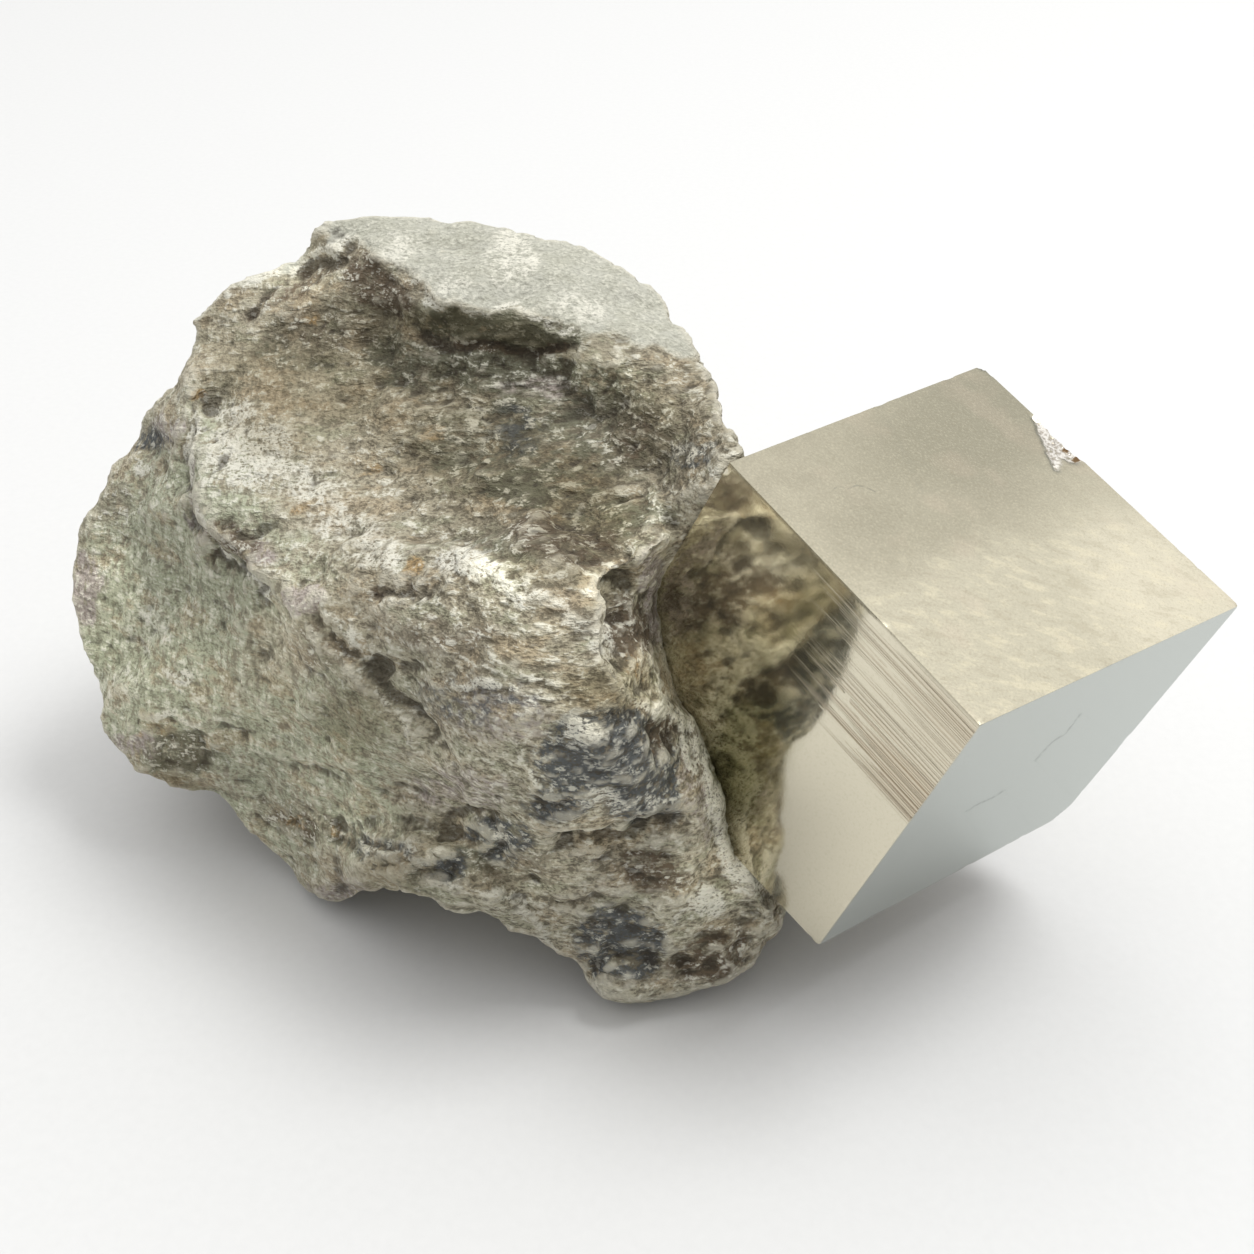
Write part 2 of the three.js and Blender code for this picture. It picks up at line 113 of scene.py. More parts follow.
# Places on the stone's hidden flank, by where the crystal's left face shows them, measured as those below
MIRROR_SWELLS = [(606, 380, 44, 18, 25, -0.6), (846, 704, 16, 22, 0, 0.9)]
# Pale on the hidden flank, partly its own colour and partly painted light, for how bright it shows in the
# crystal's left face
MIRROR_PALE_AND_LIGHT = [(735, 655, 36, 26, -20, 0.9), (745, 545, 44, 26, 30, 0.75), (790, 600, 30, 14, -40, 0.4)]
# Umber on the hidden flank, partly its own brown and partly painted shade, for how it shows in the crystal's
# left face
MIRROR_UMBER_AND_SHADE = [
    (735, 610, 46, 16, 10, 0.7), (745, 712, 40, 18, -40, 0.8), (715, 505, 36, 40, 0, 0.4),
    (690, 600, 24, 40, 0, 0.5),
]
MIRROR_BLUE = [(832, 632, 28, 28, 0, 0.6), (800, 680, 44, 22, -35, 0.7), (748, 728, 40, 24, -35, 0.7)]
# Olive on the hidden flank, partly its own colour and partly painted shade, for how it shows in the crystal's
# left face
MIRROR_OLIVE_AND_SHADE = [
    (832, 632, 28, 28, 0, 0.95), (765, 740, 40, 24, -30, 0.8), (770, 820, 26, 30, 0, 0.7),
    (768, 880, 14, 26, 0, 0.5), (800, 680, 40, 26, -35, 0.9),
]
MIRROR_SHADED = [
    (812, 640, 56, 40, -35, 1.0), (745, 742, 60, 62, 10, 1.0), (765, 850, 36, 60, 0, 0.9),
    (690, 590, 34, 60, 0, 0.5),
]
# Painted light on the hidden flank, lightened for how bright it shows in the crystal's left face
MIRROR_PAINTED_LIGHT = [(735, 560, 70, 42, 25, 1.0), (735, 655, 40, 26, -20, 0.7)]

# Open cracks and slots: path, half width in pixels, depth in mm
LIP_CREVICE = [
    (417, 335), (435, 343), (451, 347), (466, 346), (480, 344), (500, 347), (515, 353), (530, 355),
    (542, 352), (556, 348), (572, 347),
]
CRACKS = [
    (LIP_CREVICE, 6, 0.55),
    ([(368, 664), (373, 676), (381, 687), (395, 695), (407, 703), (417, 714), (425, 728),
      (423, 739)], 4, 1.8),
    ([(395, 674), (403, 668), (415, 664), (429, 668)], 4, 0.8),
    ([(606, 612), (617, 613), (628, 612)], 3, 0.5),
    ([(606, 629), (618, 627), (634, 621)], 3, 0.6),
    ([(609, 645), (624, 640), (642, 632)], 3, 0.5),
    ([(571, 780), (592, 777), (616, 773)], 4, 0.5),
    ([(530, 802), (543, 808), (560, 807), (577, 802)], 5, 0.6),
    ([(524, 825), (546, 825), (568, 821)], 3, 0.4),
    ([(448, 821), (463, 816), (480, 815), (494, 819)], 6, 1.3),
    ([(484, 822), (492, 829), (502, 835), (516, 843)], 4, 0.8),
    ([(482, 853), (492, 848), (503, 848), (514, 853)], 7, 0.9),
    ([(437, 835), (447, 831), (457, 832), (466, 839)], 5, 0.7),
    ([(554, 849), (575, 845), (594, 841), (607, 843), (627, 835), (643, 829), (670, 829),
      (686, 825)], 6, 1.3),
    ([(601, 868), (613, 859), (628, 853)], 5, 0.6),
    ([(366, 873), (383, 868), (402, 871)], 5, 0.8),
    ([(372, 843), (386, 844), (400, 846)], 4, 0.6),
    ([(345, 850), (353, 852), (363, 855)], 5, 0.5),
    ([(392, 853), (402, 855), (412, 858)], 4, 0.5),
    ([(356, 830), (361, 838), (367, 845)], 4, 0.5),
    ([(334, 840), (345, 847), (356, 850)], 5, 0.6),
    ([(256, 816), (259, 824), (264, 832)], 5, 0.5),
    ([(561, 448), (571, 453), (583, 456)], 5, 0.6),
    ([(616, 481), (627, 487), (641, 487)], 5, 0.7),
    ([(608, 462), (616, 468), (622, 472)], 4, 0.5),
    ([(505, 508), (520, 503), (540, 507)], 4, 0.4),
    ([(284, 312), (294, 309), (306, 304)], 4, 0.5),
    ([(336, 322), (338, 332), (339, 343)], 4, 0.5),
    ([(424, 477), (434, 483), (440, 490)], 4, 0.4),
    ([(540, 912), (520, 903), (500, 900)], 4, 0.4),
    ([(658, 862), (672, 860), (688, 861)], 4, 0.3),
]

# Broad hollows and swells of the front, with the same measures as the pits below
SWELLS = [
    (606, 380, 44, 18, 25, -0.6), (500, 385, 95, 36, 8, 1.0), (600, 470, 60, 90, -10, 0.9),
    (395, 345, 60, 36, 25, 0.6), (250, 455, 56, 60, 30, -0.5), (350, 540, 100, 36, 30, -0.5),
    (200, 640, 90, 60, 0, 0.3), (330, 640, 22, 60, -40, -0.5), (440, 770, 80, 50, 0, 0.3),
    (640, 870, 46, 24, 0, 0.5), (600, 760, 70, 40, -10, -0.4), (300, 800, 40, 70, 30, 0.4),
]

# The lower edges that stand forward along the view, and how far in mm. The arch fades out across the frame.
ARCH_EDGE = [(352, 899), (375, 893), (400, 890), (450, 904), (520, 930), (560, 955), (585, 975)]
ARCH_FADES_OUT = (440, 550)
ARCH_PULL = 8.0
TIP_EDGE = [(590, 984), (615, 1000), (650, 1006), (690, 1000), (722, 984), (744, 962)]
TIP_PULL = 2.6

# Pits and hollows: middle, half sizes in pixels, turn in degrees, depth in mm (negative stands proud)
PITS = [
    (373, 674, 8, 9, 30, 0.9), (631, 590, 11, 8, 0, 1.5), (615, 584, 6, 9, 0, 0.6),
    (658, 737, 18, 17, 0, 0.9), (662, 749, 8, 8, 0, 0.5), (443, 868, 22, 13, 10, 0.9),
    (679, 960, 12, 7, -10, 0.5), (708, 964, 12, 5, -20, 0.4), (714, 943, 13, 5, -20, 0.35),
    (747, 946, 10, 7, -40, 0.5), (592, 960, 14, 6, 20, 0.4), (653, 955, 12, 8, 20, 0.35),
    (621, 910, 11, 4, 0, 0.35), (610, 976, 12, 4, 20, 0.3), (532, 941, 9, 8, 30, 0.5),
    (506, 932, 12, 6, 20, 0.4), (731, 962, 10, 5, -30, 0.3), (696, 940, 9, 4, 0, 0.3),
    (690, 978, 12, 4, 0, 0.3), (180, 752, 36, 16, 5, 0.5), (336, 828, 11, 7, 20, 0.5),
    (290, 822, 8, 7, 0, 0.45), (322, 613, 6, 6, 0, 0.4), (125, 768, 12, 9, 0, 0.3), (604, 925, 9, 5, 0, 0.3),
    (634, 930, 11, 5, 0, 0.25), (628, 953, 9, 5, 0, 0.3), (560, 905, 12, 4, 10, 0.3),
    (525, 880, 12, 4, 10, 0.3), (640, 878, 14, 4, 0, 0.3), (318, 232, 13, 12, 0, -0.5),
]

# Ledges: path, how far the cut reaches on its right hand in pixels (negative, on its left), depth in mm
LEDGES = [
    (LIP_EDGE, 44, 0.45), (LIP_RIGHT_EDGE, 30, 0.18), (LEFT_RIDGE, -22, 0.5),
    ([(292, 277), (276, 286), (258, 298), (240, 312)], -12, 0.5),
    ([(371, 588), (391, 586), (409, 589), (430, 580), (443, 576)], 17, 0.8), (STANDING_EDGE, 16, 0.6),
    ([(224, 455), (219, 472), (203, 486)], 10, 0.3),
    ([(217, 520), (231, 523), (244, 523), (266, 520)], 16, 0.6),
    ([(323, 616), (343, 630), (356, 643), (380, 664)], 15, 0.6), (RECESS_EDGE, 26, 0.8),
    ([(146, 724), (160, 721), (175, 720), (190, 726), (205, 730), (222, 729), (240, 729)], 26, 0.5),
    ([(556, 840), (590, 833), (625, 826), (650, 818), (690, 815)], 22, 0.5),
    ([(522, 676), (544, 682), (575, 698)], 12, 0.35), ([(452, 690), (480, 689), (508, 685)], 10, 0.3),
    ([(672, 926), (660, 912), (640, 900), (600, 896), (560, 898)], -12, 0.4),
    ([(450, 350), (500, 372), (545, 378), (590, 372)], 10, 0.2),
]

# Raised lines: path, half width in pixels, height in mm
WELTS = [
    (RIM_WEDGE, 9, 0.3), (RIM_BAND, 9, 0.3), ([(522, 736), (524, 754), (530, 775), (532, 793)], 4, 0.25),
    (MID_RIDGE, 16, 0.25), ([(376, 691), (388, 702), (400, 714), (418, 738)], 5, 0.35), (LEFT_RIDGE, 5, 0.3),
    ([(657, 915), (667, 938), (670, 968)], 5, 0.3), (LOWER_RIM, 6, 0.3),
]

# Flakes: zone, height, pitch of the layers, way they stack, warp and size of the warp, seed, with sizes in mm
FLAKES = [
    ("scoop", 0.2, 1.3, (0.12, 0.3, 1), 1.0, 2.6, 4),
    ("scoop", 0.34, 3.4, (0.3, 0.25, 1), 1.8, 4.5, 43),
    ("left", 0.08, 1.4, (0.8, 0.25, 0.45), 1.2, 2.2, 6),
    ("front", 0.08, 1.5, (0.45, 0.1, 0.8), 1.3, 2.4, 8),
]

# Depths of the broad and the small hollows on the unseen sides, in mm
BROAD_HOLLOW, SMALL_HOLLOW = 2.6, 0.35


def pick_only(piece):
    """Leaves just this piece selected and active."""
    if bpy.context.mode != "OBJECT":
        bpy.ops.object.mode_set(mode="OBJECT")
    bpy.ops.object.select_all(action="DESELECT")
    piece.select_set(True)
    bpy.context.view_layer.objects.active = piece


def copy_of_node(node, name):
    """A merged copy of a CAD node, as a new piece of its own."""
    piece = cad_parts[node].copy()
    piece.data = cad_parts[node].data.copy()
    piece.name = name
    piece.data.name = name
    piece.parent = None
    piece.matrix_world = Matrix.Identity(4)
    bpy.context.scene.collection.objects.link(piece)
    pick_only(piece)
    bpy.ops.object.mode_set(mode="EDIT")
    bpy.ops.mesh.select_all(action="SELECT")
    bpy.ops.mesh.remove_doubles(threshold=0.00001)
    bpy.ops.mesh.normals_make_consistent(inside=False)
    bpy.ops.object.mode_set(mode="OBJECT")
    return piece


def apply_modifier(piece, kind, **settings):
    """Adds one modifier with its settings and applies it."""
    pick_only(piece)
    modifier = piece.modifiers.new(kind.lower(), kind)
    for key, value in settings.items():
        setattr(modifier, key, value)
    bpy.ops.object.modifier_apply(modifier=modifier.name)


# Camera
eye = Vector(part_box("pyrite_cube")[0]) + VIEW_FROM_CRYSTAL
camera_data = bpy.data.cameras.new("specimen_camera")
camera = bpy.data.objects.new("specimen_camera", camera_data)
bpy.context.scene.collection.objects.link(camera)
camera.location = eye
camera.rotation_euler = (math.pi / 2 - VIEW_DIP, 0, 0)
camera_data.sensor_width = 36
camera_data.lens = LENS_PX / FRAME_PX * camera_data.sensor_width
camera_data.clip_start = 0.01
bpy.context.scene.camera = camera

VIEW_UP = np.array((0, math.sin(VIEW_DIP), math.cos(VIEW_DIP)))
VIEW_AHEAD = np.array((0, math.cos(VIEW_DIP), -math.sin(VIEW_DIP)))


def smooth_step(low, high, values):
    """0 below one limit, 1 past the other, and an even rise between them."""
    share = np.clip((values - low) / (high - low), 0, 1)
    return share * share * (3 - 2 * share)


def in_frame(points):
    """The places of points across and down the frame, in pixels."""
    offsets = points - np.array(eye)
    ahead = offsets @ VIEW_AHEAD
    return offsets[:, 0] / ahead * LENS_PX + FRAME_PX / 2, FRAME_PX / 2 - offsets @ VIEW_UP / ahead * LENS_PX


class Skin:
    """The points of a mesh, with their places in the frame and how freely the front view sees them.

    The bent places wander by a few pixels, so that nothing laid out with them has an even edge.
    """

    def __init__(self, piece, sighting=True):
        self.piece = piece
        self.points = self.read(piece.data.vertices, "co", 3)
        self.normals = self.read(piece.data.vertices, "normal", 3)
        self.edges = self.read(piece.data.edges, "vertices", 2, np.int32)
        if not sighting:
            return
        self.across, self.down = in_frame(self.points)
        self.seen = self.spread(self.sighted(), 3)
        offsets = self.points - np.array(eye)
        self.facing = -np.einsum("ij,ij->i", self.normals, offsets) / np.linalg.norm(offsets, axis=1)
        self.across_bent = self.across + 7 * self.grain(2.2, 3) + 3 * self.grain(0.8, 5)
        self.down_bent = self.down + 7 * self.grain(2.2, 11) + 3 * self.grain(0.8, 17)

    @staticmethod
    def read(items, title, width, kind=float):
        """One measure of all of a mesh's points or edges."""
        values = np.empty(len(items) * width, dtype=kind)
        items.foreach_get(title, values)
        return values.reshape(-1, width)

    def sighted(self):
        """1 where a point is in view of the camera, and 0 where the stone hides it."""
        tree = tree_of(self.piece.data)
        answers = np.zeros(len(self.points))
        for index, (point, normal) in enumerate(zip(self.points, self.normals)):
            start = Vector(point + normal * 0.3 * MM)
            towards = eye - start
            if towards.dot(Vector(normal)) > 0 and tree.ray_cast(start, towards.normalized())[0] is None:
                answers[index] = 1
        return answers

    def spread(self, values, rounds):
        """Evens values out over neighbouring points."""
        first, second = self.edges[:, 0], self.edges[:, 1]
        count = len(values)
        neighbours = np.bincount(first, minlength=count) + np.bincount(second, minlength=count)
        for _ in range(rounds):
            total = np.bincount(first, values[second], count) + np.bincount(second, values[first], count)
            values = 0.5 * values + 0.5 * total / np.maximum(neighbours, 1)
        return values

    def evened(self, rounds):
        """The points, evened out over their neighbours."""
        return np.stack([self.spread(self.points[:, axis], rounds) for axis in range(3)], axis=1)

    def grain(self, size_mm, seed, octaves=1, stretch=(1, 1, 1)):
        """Soft noise from about -1 to 1 with grains of one size."""
        places = (self.points / (size_mm * MM * np.array(stretch)) + seed * 7.31).tolist()
        if octaves == 1:
            return np.array([noise.noise(place) for place in places]) * 1.6
        return np.array([noise.fractal(place, 0.8, 2.1, octaves) for place in places]) * 1.4

    def near_path(self, path, bent=True):
        """Distance in pixels to a path, which hand of it a point is on, and a fade towards its ends."""
        x = self.across_bent if bent else self.across
        y = self.down_bent if bent else self.down
        best = np.full(len(x), 1e9)
        hand = np.zeros(len(x))
        along = np.zeros(len(x))
        done = 0
        for (x0, y0), (x1, y1) in zip(path, path[1:]):
            length = math.dist((x0, y0), (x1, y1))
            dx, dy = x1 - x0, y1 - y0
            share = np.clip(((x - x0) * dx + (y - y0) * dy) / (length * length), 0, 1)
            off_x, off_y = x - x0 - share * dx, y - y0 - share * dy
            away = np.hypot(off_x, off_y)
            nearer = away < best
            best = np.where(nearer, away, best)
            hand = np.where(nearer, np.sign(dx * off_y - dy * off_x), hand)
            along = np.where(nearer, done + share * length, along)
            done += length
        return best, hand, np.clip(0.35 + np.minimum(along, done - along) / 8, 0, 1)

    def in_oval(self, x, y, half_x, half_y, turn_deg=0, bent=True):
        """1 in the middle of an oval in the frame, 0.5 at its edge, and 0 outside."""
        angle = math.radians(turn_deg)
        off_x = (self.across_bent if bent else self.across) - x
        off_y = (self.down_bent if bent else self.down) - y
        u = (off_x * math.cos(angle) + off_y * math.sin(angle)) / half_x
        v = (-off_x * math.sin(angle) + off_y * math.cos(angle)) / half_y
        return 1 - smooth_step(0.5, 1.5, np.hypot(u, v))

    def in_ovals(self, places):
        """The strongest of some ovals, each with its own strength last."""
        mask = np.zeros(len(self.points))
        for *oval, strength in places:
            mask = np.maximum(mask, strength * self.in_oval(*oval))
        return mask

    def mirrored(self):
        """The same points by where they show in the crystal's left face."""
        twin = copy.copy(self)
        depth = (self.points / MM - np.array(TOP_FRONT)) @ LEFT_FACE_OUT
        twin.across, twin.down = in_frame(self.points - 2 * MM * depth[:, None] * LEFT_FACE_OUT)
        twin.across_bent = twin.across + 0.7 * (self.across_bent - self.across)
        twin.down_bent = twin.down + 0.7 * (self.down_bent - self.down)
        twin.seen = (depth > 0) * (depth < 30) * (1 - smooth_step(-0.1, 0.3, self.normals @ LEFT_FACE_OUT))
        twin.seen = twin.seen * (1 - self.seen * smooth_step(0.1, 0.5, self.facing))
        return twin

    def move(self, heights_mm):
        """Moves the surface out by a height at each point, with a weight group and a Displace modifier."""
        for sign, title in ((1, "raised"), (-1, "cut")):
            share = np.clip(sign * heights_mm, 0, None)
            deepest = float(share.max())
            if deepest < 0.001:
                continue
            group = self.piece.vertex_groups.new(name=title)
            for index in np.nonzero(share > 0.001)[0].tolist():
                group.add([index], share[index] / deepest, "REPLACE")
            strength = sign * deepest * MM
            apply_modifier(self.piece, "DISPLACE", strength=strength, mid_level=0, vertex_group=title)
            self.piece.vertex_groups.remove(self.piece.vertex_groups[title])


def tree_of(mesh):
    """A mesh's faces, for measuring to and for sight lines."""
    return BVHTree.FromPolygons([v.co.copy() for v in mesh.vertices], [p.vertices[:] for p in mesh.polygons])


def place_points(piece, points):
    """Puts a piece's points at new places."""
    piece.data.vertices.foreach_set("co", points.ravel())
    piece.data.update()


def carve_front(piece):
    """Cuts ledges, raised lines, pits and cracks into the front, and swells into the mirrored flank."""
    skin = Skin(piece)
    height = np.zeros(len(skin.points))
    for path, reach, depth in LEDGES:
        away, hand, ends = skin.near_path(path, bent=path is not LIP_EDGE)
        side = hand * away * np.sign(reach)
        height -= depth * ends * smooth_step(-3, 4, side) * (1 - smooth_step(0.35, 1, side / abs(reach)))
    for path, half_width, rise in WELTS:
        away, _, ends = skin.near_path(path)
        height += rise * ends * (1 - smooth_step(0, 1.2, away / half_width))
    for *oval, depth in PITS + SWELLS:
        height -= depth * skin.in_oval(*oval)
    height *= skin.seen
    flank = skin.mirrored()
    for *oval, depth in MIRROR_SWELLS:
        height -= depth * flank.in_oval(*oval) * flank.seen
    deepest = np.zeros(len(height))
    for path, half_width, depth in CRACKS:
        away, _, ends = skin.near_path(path, bent=path is not LIP_CREVICE)
        deepest = np.maximum(deepest, depth * ends * (1 - smooth_step(0, 1.3, away / half_width)))
    skin.move(height - deepest * skin.seen)
    settle(piece, 0.13, 6)


def lift_arch(piece):
    """Brings the arched lower edge and the tip forward along the view, so that they overhang the floor."""
    skin = Skin(piece)
    away, _, ends = skin.near_path(TIP_EDGE, bent=False)
    tip = (1 - smooth_step(0.1, 1, away / 50)) * ends * smooth_step(0.1, 0.9, skin.seen)
    away, _, ends = skin.near_path(ARCH_EDGE, bent=False)
    arch = (1 - smooth_step(0.15, 1, away / 75)) * ends * (1 - smooth_step(14, 20, skin.points[:, 2] / MM))
    arch *= 1 - 0.75 * smooth_step(*ARCH_FADES_OUT, skin.across)
    towards = np.array(eye) - skin.points
    towards /= np.linalg.norm(towards, axis=1)[:, None]
    pull = MM * (ARCH_PULL * arch + TIP_PULL * skin.spread(tip, 4))
    place_points(piece, skin.points + towards * pull[:, None])


def settle(piece, limit_mm, rounds):
    """Draws back single points that stand off their neighbours."""
    skin = Skin(piece, sighting=False)
    for _ in range(rounds):
        offset = (skin.evened(1) - skin.points) * 2
        far = np.linalg.norm(offset, axis=1) > limit_mm * MM
        skin.points[far] += offset[far] * 0.7
    place_points(piece, skin.points)


def plates(skin, pitch_mm, stack, warp_mm, size_mm, seed):
    """Overlapping flakes: each rises outward to a sharp lower edge, in layers stacked along one direction."""
    layer = skin.points @ np.array(Vector(stack).normalized()) / (pitch_mm * MM)
    layer = layer + warp_mm / pitch_mm * skin.grain(size_mm, seed, 3, (2.2, 1.6, 1))
    return 0.5 - (layer - np.floor(layer))


def roughen(piece):
    """Gives the stone its lumps, flakes and grit, and its unseen sides their hollows."""
    skin = Skin(piece)
    zone = zones(skin)
    cap = zone["cap"]
    shown = 0.2 + 0.8 * skin.spread(skin.seen, 4)
    broken = smooth_step(-0.3, 0.7, skin.grain(3.2, 9, 2)) * shown
    relief = 0.3 * skin.grain(5, 1, 3) * (1 - 0.6 * cap)
    relief += skin.grain(1.2, 2, 3, (2, 1.3, 0.6)) * (0.1 - 0.07 * cap) * (0.4 + 0.6 * shown)
    relief += 0.06 * cap * skin.grain(1.6, 14, 2)
    relief += 0.34 * (1 - smooth_step(0.1, 0.45, np.abs(skin.facing))) * skin.grain(1.8, 33, 2)
    unseen = smooth_step(0.55, 1, 1 - skin.spread(skin.seen, 24))
    relief -= unseen * (BROAD_HOLLOW * np.clip(skin.grain(11, 51, 2), 0, 1)
                        + SMALL_HOLLOW * np.clip(skin.grain(4, 53, 2), 0, 1))
    relief += 0.3 * unseen * plates(skin, 2.6, (0.4, 0.3, 0.9), 1.8, 4.2, 57)
    for name, height, *flake in FLAKES:
        relief += height * broken * zone[name] * plates(skin, *flake)
    skin.move(relief * near_crystal(skin) * (1 - 0.75 * lip_wall(skin)))
    settle(piece, 0.16, 3)


def near_crystal(skin):
    """0 at the crystal, rising to 1 two millimetres off it."""
    clear = 2 * MM
    tree = tree_of(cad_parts["pyrite_cube"].data)
    gaps = [tree.find_nearest(point, clear)[3] for point in skin.points.tolist()]
    return smooth_step(0.1, 1, np.array([clear if gap is None else gap for gap in gaps]) / clear)


def zones(skin):
    """Weights of the capping slab, the scoop below it, the left flank and the front."""
    up = skin.normals[:, 2]
    high = smooth_step(34, 38, skin.points[:, 2] / MM)
    cap = high * smooth_step(0.45, 0.7, up)
    cap = np.where(skin.seen > 0.4, cap * smooth_step(-4, 2, -cap_side(skin)), cap)
    left = smooth_step(8, 26, -skin.points[:, 0] / MM - 0.2 * skin.points[:, 2] / MM + 6) * (1 - cap)
    scoop = smooth_step(0.25, 0.55, up) * (1 - cap) * (1 - 0.8 * left)
    return {"cap": cap, "scoop": scoop, "left": left, "front": np.clip(1 - cap - scoop - left, 0, 1)}


def lip_wall(skin):
    """1 on the smooth wall under the slab's edge."""
    side = cap_side(skin)
    wall = smooth_step(-2, 4, side) * (1 - smooth_step(22, 36, side)) * skin.seen
    return wall * smooth_step(*WALL_SETS_IN, skin.across) * (1 - smooth_step(*WALL_FADES_OUT, skin.across))


def cap_side(skin):
    """How many pixels a point lies below the slab's edge; negative above it."""
    away, hand, _ = skin.near_path(CAP_LINE)
    return away * hand


def close_seat(piece):
    """Brings the stone right up to the crystal, where the CAD solids keep a small clearance."""
    tree = tree_of(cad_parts["pyrite_cube"].data)
    for vertex in piece.data.vertices:
        spot, normal = tree.find_nearest(vertex.co, SEAT_REACH * 2)[:2]
        if spot is None:
            continue
        side = (vertex.co - spot).dot(normal)
        if side < SEAT_REACH:
            share = 1 - float(smooth_step(0.35, 1, np.array(side / SEAT_REACH)))
            vertex.co = vertex.co.lerp(spot - normal * SEAT_BITE, share)


def keep_in_box(piece):
    """Holds a piece inside the CAD box and flat on the table."""
    low, high = CAD_BOX
    for vertex in piece.data.vertices:
        for axis in range(3):
            vertex.co[axis] = min(max(vertex.co[axis], low[axis]), high[axis])


# Stone
stone = copy_of_node("matrix_rock", "marl_stone")
apply_modifier(stone, "REMESH", mode="VOXEL", voxel_size=STONE_VOXEL, adaptivity=0)
apply_modifier(stone, "SMOOTH", factor=0.5, iterations=5)
lift_arch(stone)
carve_front(stone)
roughen(stone)
close_seat(stone)
settle(stone, 0.1, 4)
keep_in_box(stone)
pick_only(stone)
bpy.ops.object.shade_smooth()

# Colour places on the stone: middle, half sizes in pixels, turn in degrees, strength
PALE_PLACES = [
    (511, 252, 26, 36, 0, 0.6), (395, 250, 30, 14, 0, 0.4), (440, 285, 40, 12, 0, 0.4),
    (577, 305, 38, 16, 10, 0.4), (250, 455, 44, 34, 0, 0.85), (232, 412, 24, 16, 0, 0.6),
    (300, 480, 60, 26, 25, 0.45), (350, 530, 60, 24, 20, 0.4), (470, 565, 34, 13, 10, 0.95),
    (586, 732, 20, 12, -10, 0.9), (603, 802, 22, 9, 0, 0.8), (705, 900, 22, 15, 0, 0.9),
    (140, 469, 10, 7, 0, 0.7), (370, 562, 34, 10, 0, 0.6), (150, 625, 30, 30, 0, 0.35),
    (455, 425, 60, 30, 20, 0.35), (715, 475, 4, 4, 0, 1.0), (118, 690, 26, 30, 0, 0.35),
    (175, 676, 12, 7, 0, 0.8), (500, 838, 14, 6, 10, 0.8), (640, 806, 40, 6, -12, 0.5),
    (690, 452, 30, 9, 0, 0.5),
]
PALE_LINES = [
    (LEFT_RIDGE, 6, 1.0), (LEFT_RIDGE_TOP, 9, 0.8), (LIP_EDGE[6:], 4, 0.8), (STANDING_EDGE, 3, 0.9),
    (MID_RIDGE, 17, 0.5), (RIM_WEDGE, 12, 0.65), (RIM_BAND, 15, 0.95), (LOWER_RIM, 6, 0.6),
    ([(456, 685), (480, 684), (508, 681)], 5, 0.9), ([(522, 673), (544, 679), (575, 695)], 3, 0.8),
    ([(522, 736), (524, 754), (530, 775), (532, 791)], 3, 0.9), ([(676, 923), (684, 907)], 4, 0.9),
    ([(374, 690), (390, 708), (414, 738)], 5, 0.6), ([(224, 455), (219, 472), (203, 484)], 3, 0.8),
    ([(150, 718), (172, 715), (200, 722)], 5, 0.7),
    ([(424, 880), (440, 890), (456, 886), (462, 878)], 4, 0.8),
    ([(360, 838), (364, 850), (385, 853), (410, 851)], 3, 0.8),
    ([(455, 822), (452, 830), (470, 842)], 3, 0.5),
    ([(323, 614), (343, 628), (356, 641), (380, 662)], 3, 0.7),
]
BLUE_PLACES = [
    (605, 752, 62, 38, -10, 1.0), (560, 806, 36, 16, 0, 0.55), (640, 800, 34, 20, -10, 0.8),
    (668, 790, 16, 28, 0, 0.7), (620, 945, 42, 34, 10, 0.7), (446, 868, 24, 16, 0, 0.6),
    (500, 838, 32, 20, 20, 0.5), (515, 430, 30, 28, 0, 0.3), (690, 455, 26, 12, 0, 0.5),
    (385, 850, 40, 16, 10, 0.3), (150, 440, 20, 12, 0, 0.4), (480, 700, 80, 30, 0, 0.25),
]
# Umber: some of the stone's own brown, and painted shade in recesses, the seam by the crystal and hollows
# facing down
UMBER_AND_SHADE_PLACES = [
    (625, 632, 20, 34, 0, 0.9), (660, 735, 18, 20, 0, 0.6), (650, 868, 40, 22, 0, 0.55),
    (396, 700, 40, 14, 50, 0.15), (180, 752, 40, 18, 0, 0.25), (116, 505, 26, 20, 0, 0.3),
    (232, 543, 32, 18, 20, 0.45), (560, 540, 60, 26, 10, 0.45), (640, 440, 50, 50, 30, 0.25),
    (330, 330, 60, 40, 0, 0.3), (300, 820, 50, 20, 20, 0.35), (715, 955, 50, 26, -20, 0.5),
    (450, 640, 60, 26, 0, 0.3), (520, 870, 50, 20, 0, 0.3), (640, 440, 40, 40, 0, 0.3),
    (320, 640, 40, 30, 30, 0.3),
]
# Painted shade in umber along the crevice under the slab's edge, under the knob and the left ridge, and under
# a ledge
SHADE_LINES = [
    (LIP_CREVICE, 5, 1.0), ([(352, 262), (366, 280), (388, 294), (412, 314)], 20, 0.6),
    ([(350, 258), (320, 276), (290, 292), (262, 306), (240, 318)], 9, 0.4),
    ([(371, 592), (391, 590), (409, 594), (430, 584)], 8, 0.5),
]
RUST_PLACES = [
    (192, 390, 9, 8, 0, 0.9), (416, 563, 12, 13, 0, 0.75), (303, 508, 10, 7, 0, 0.5),
    (318, 320, 18, 8, 0, 0.35), (432, 436, 14, 12, 0, 0.4), (296, 818, 9, 8, 0, 0.5),
    (158, 732, 20, 8, 0, 0.3), (630, 665, 12, 12, 0, 0.4), (370, 470, 16, 7, 0, 0.4),
    (335, 835, 12, 8, 0, 0.4),
]
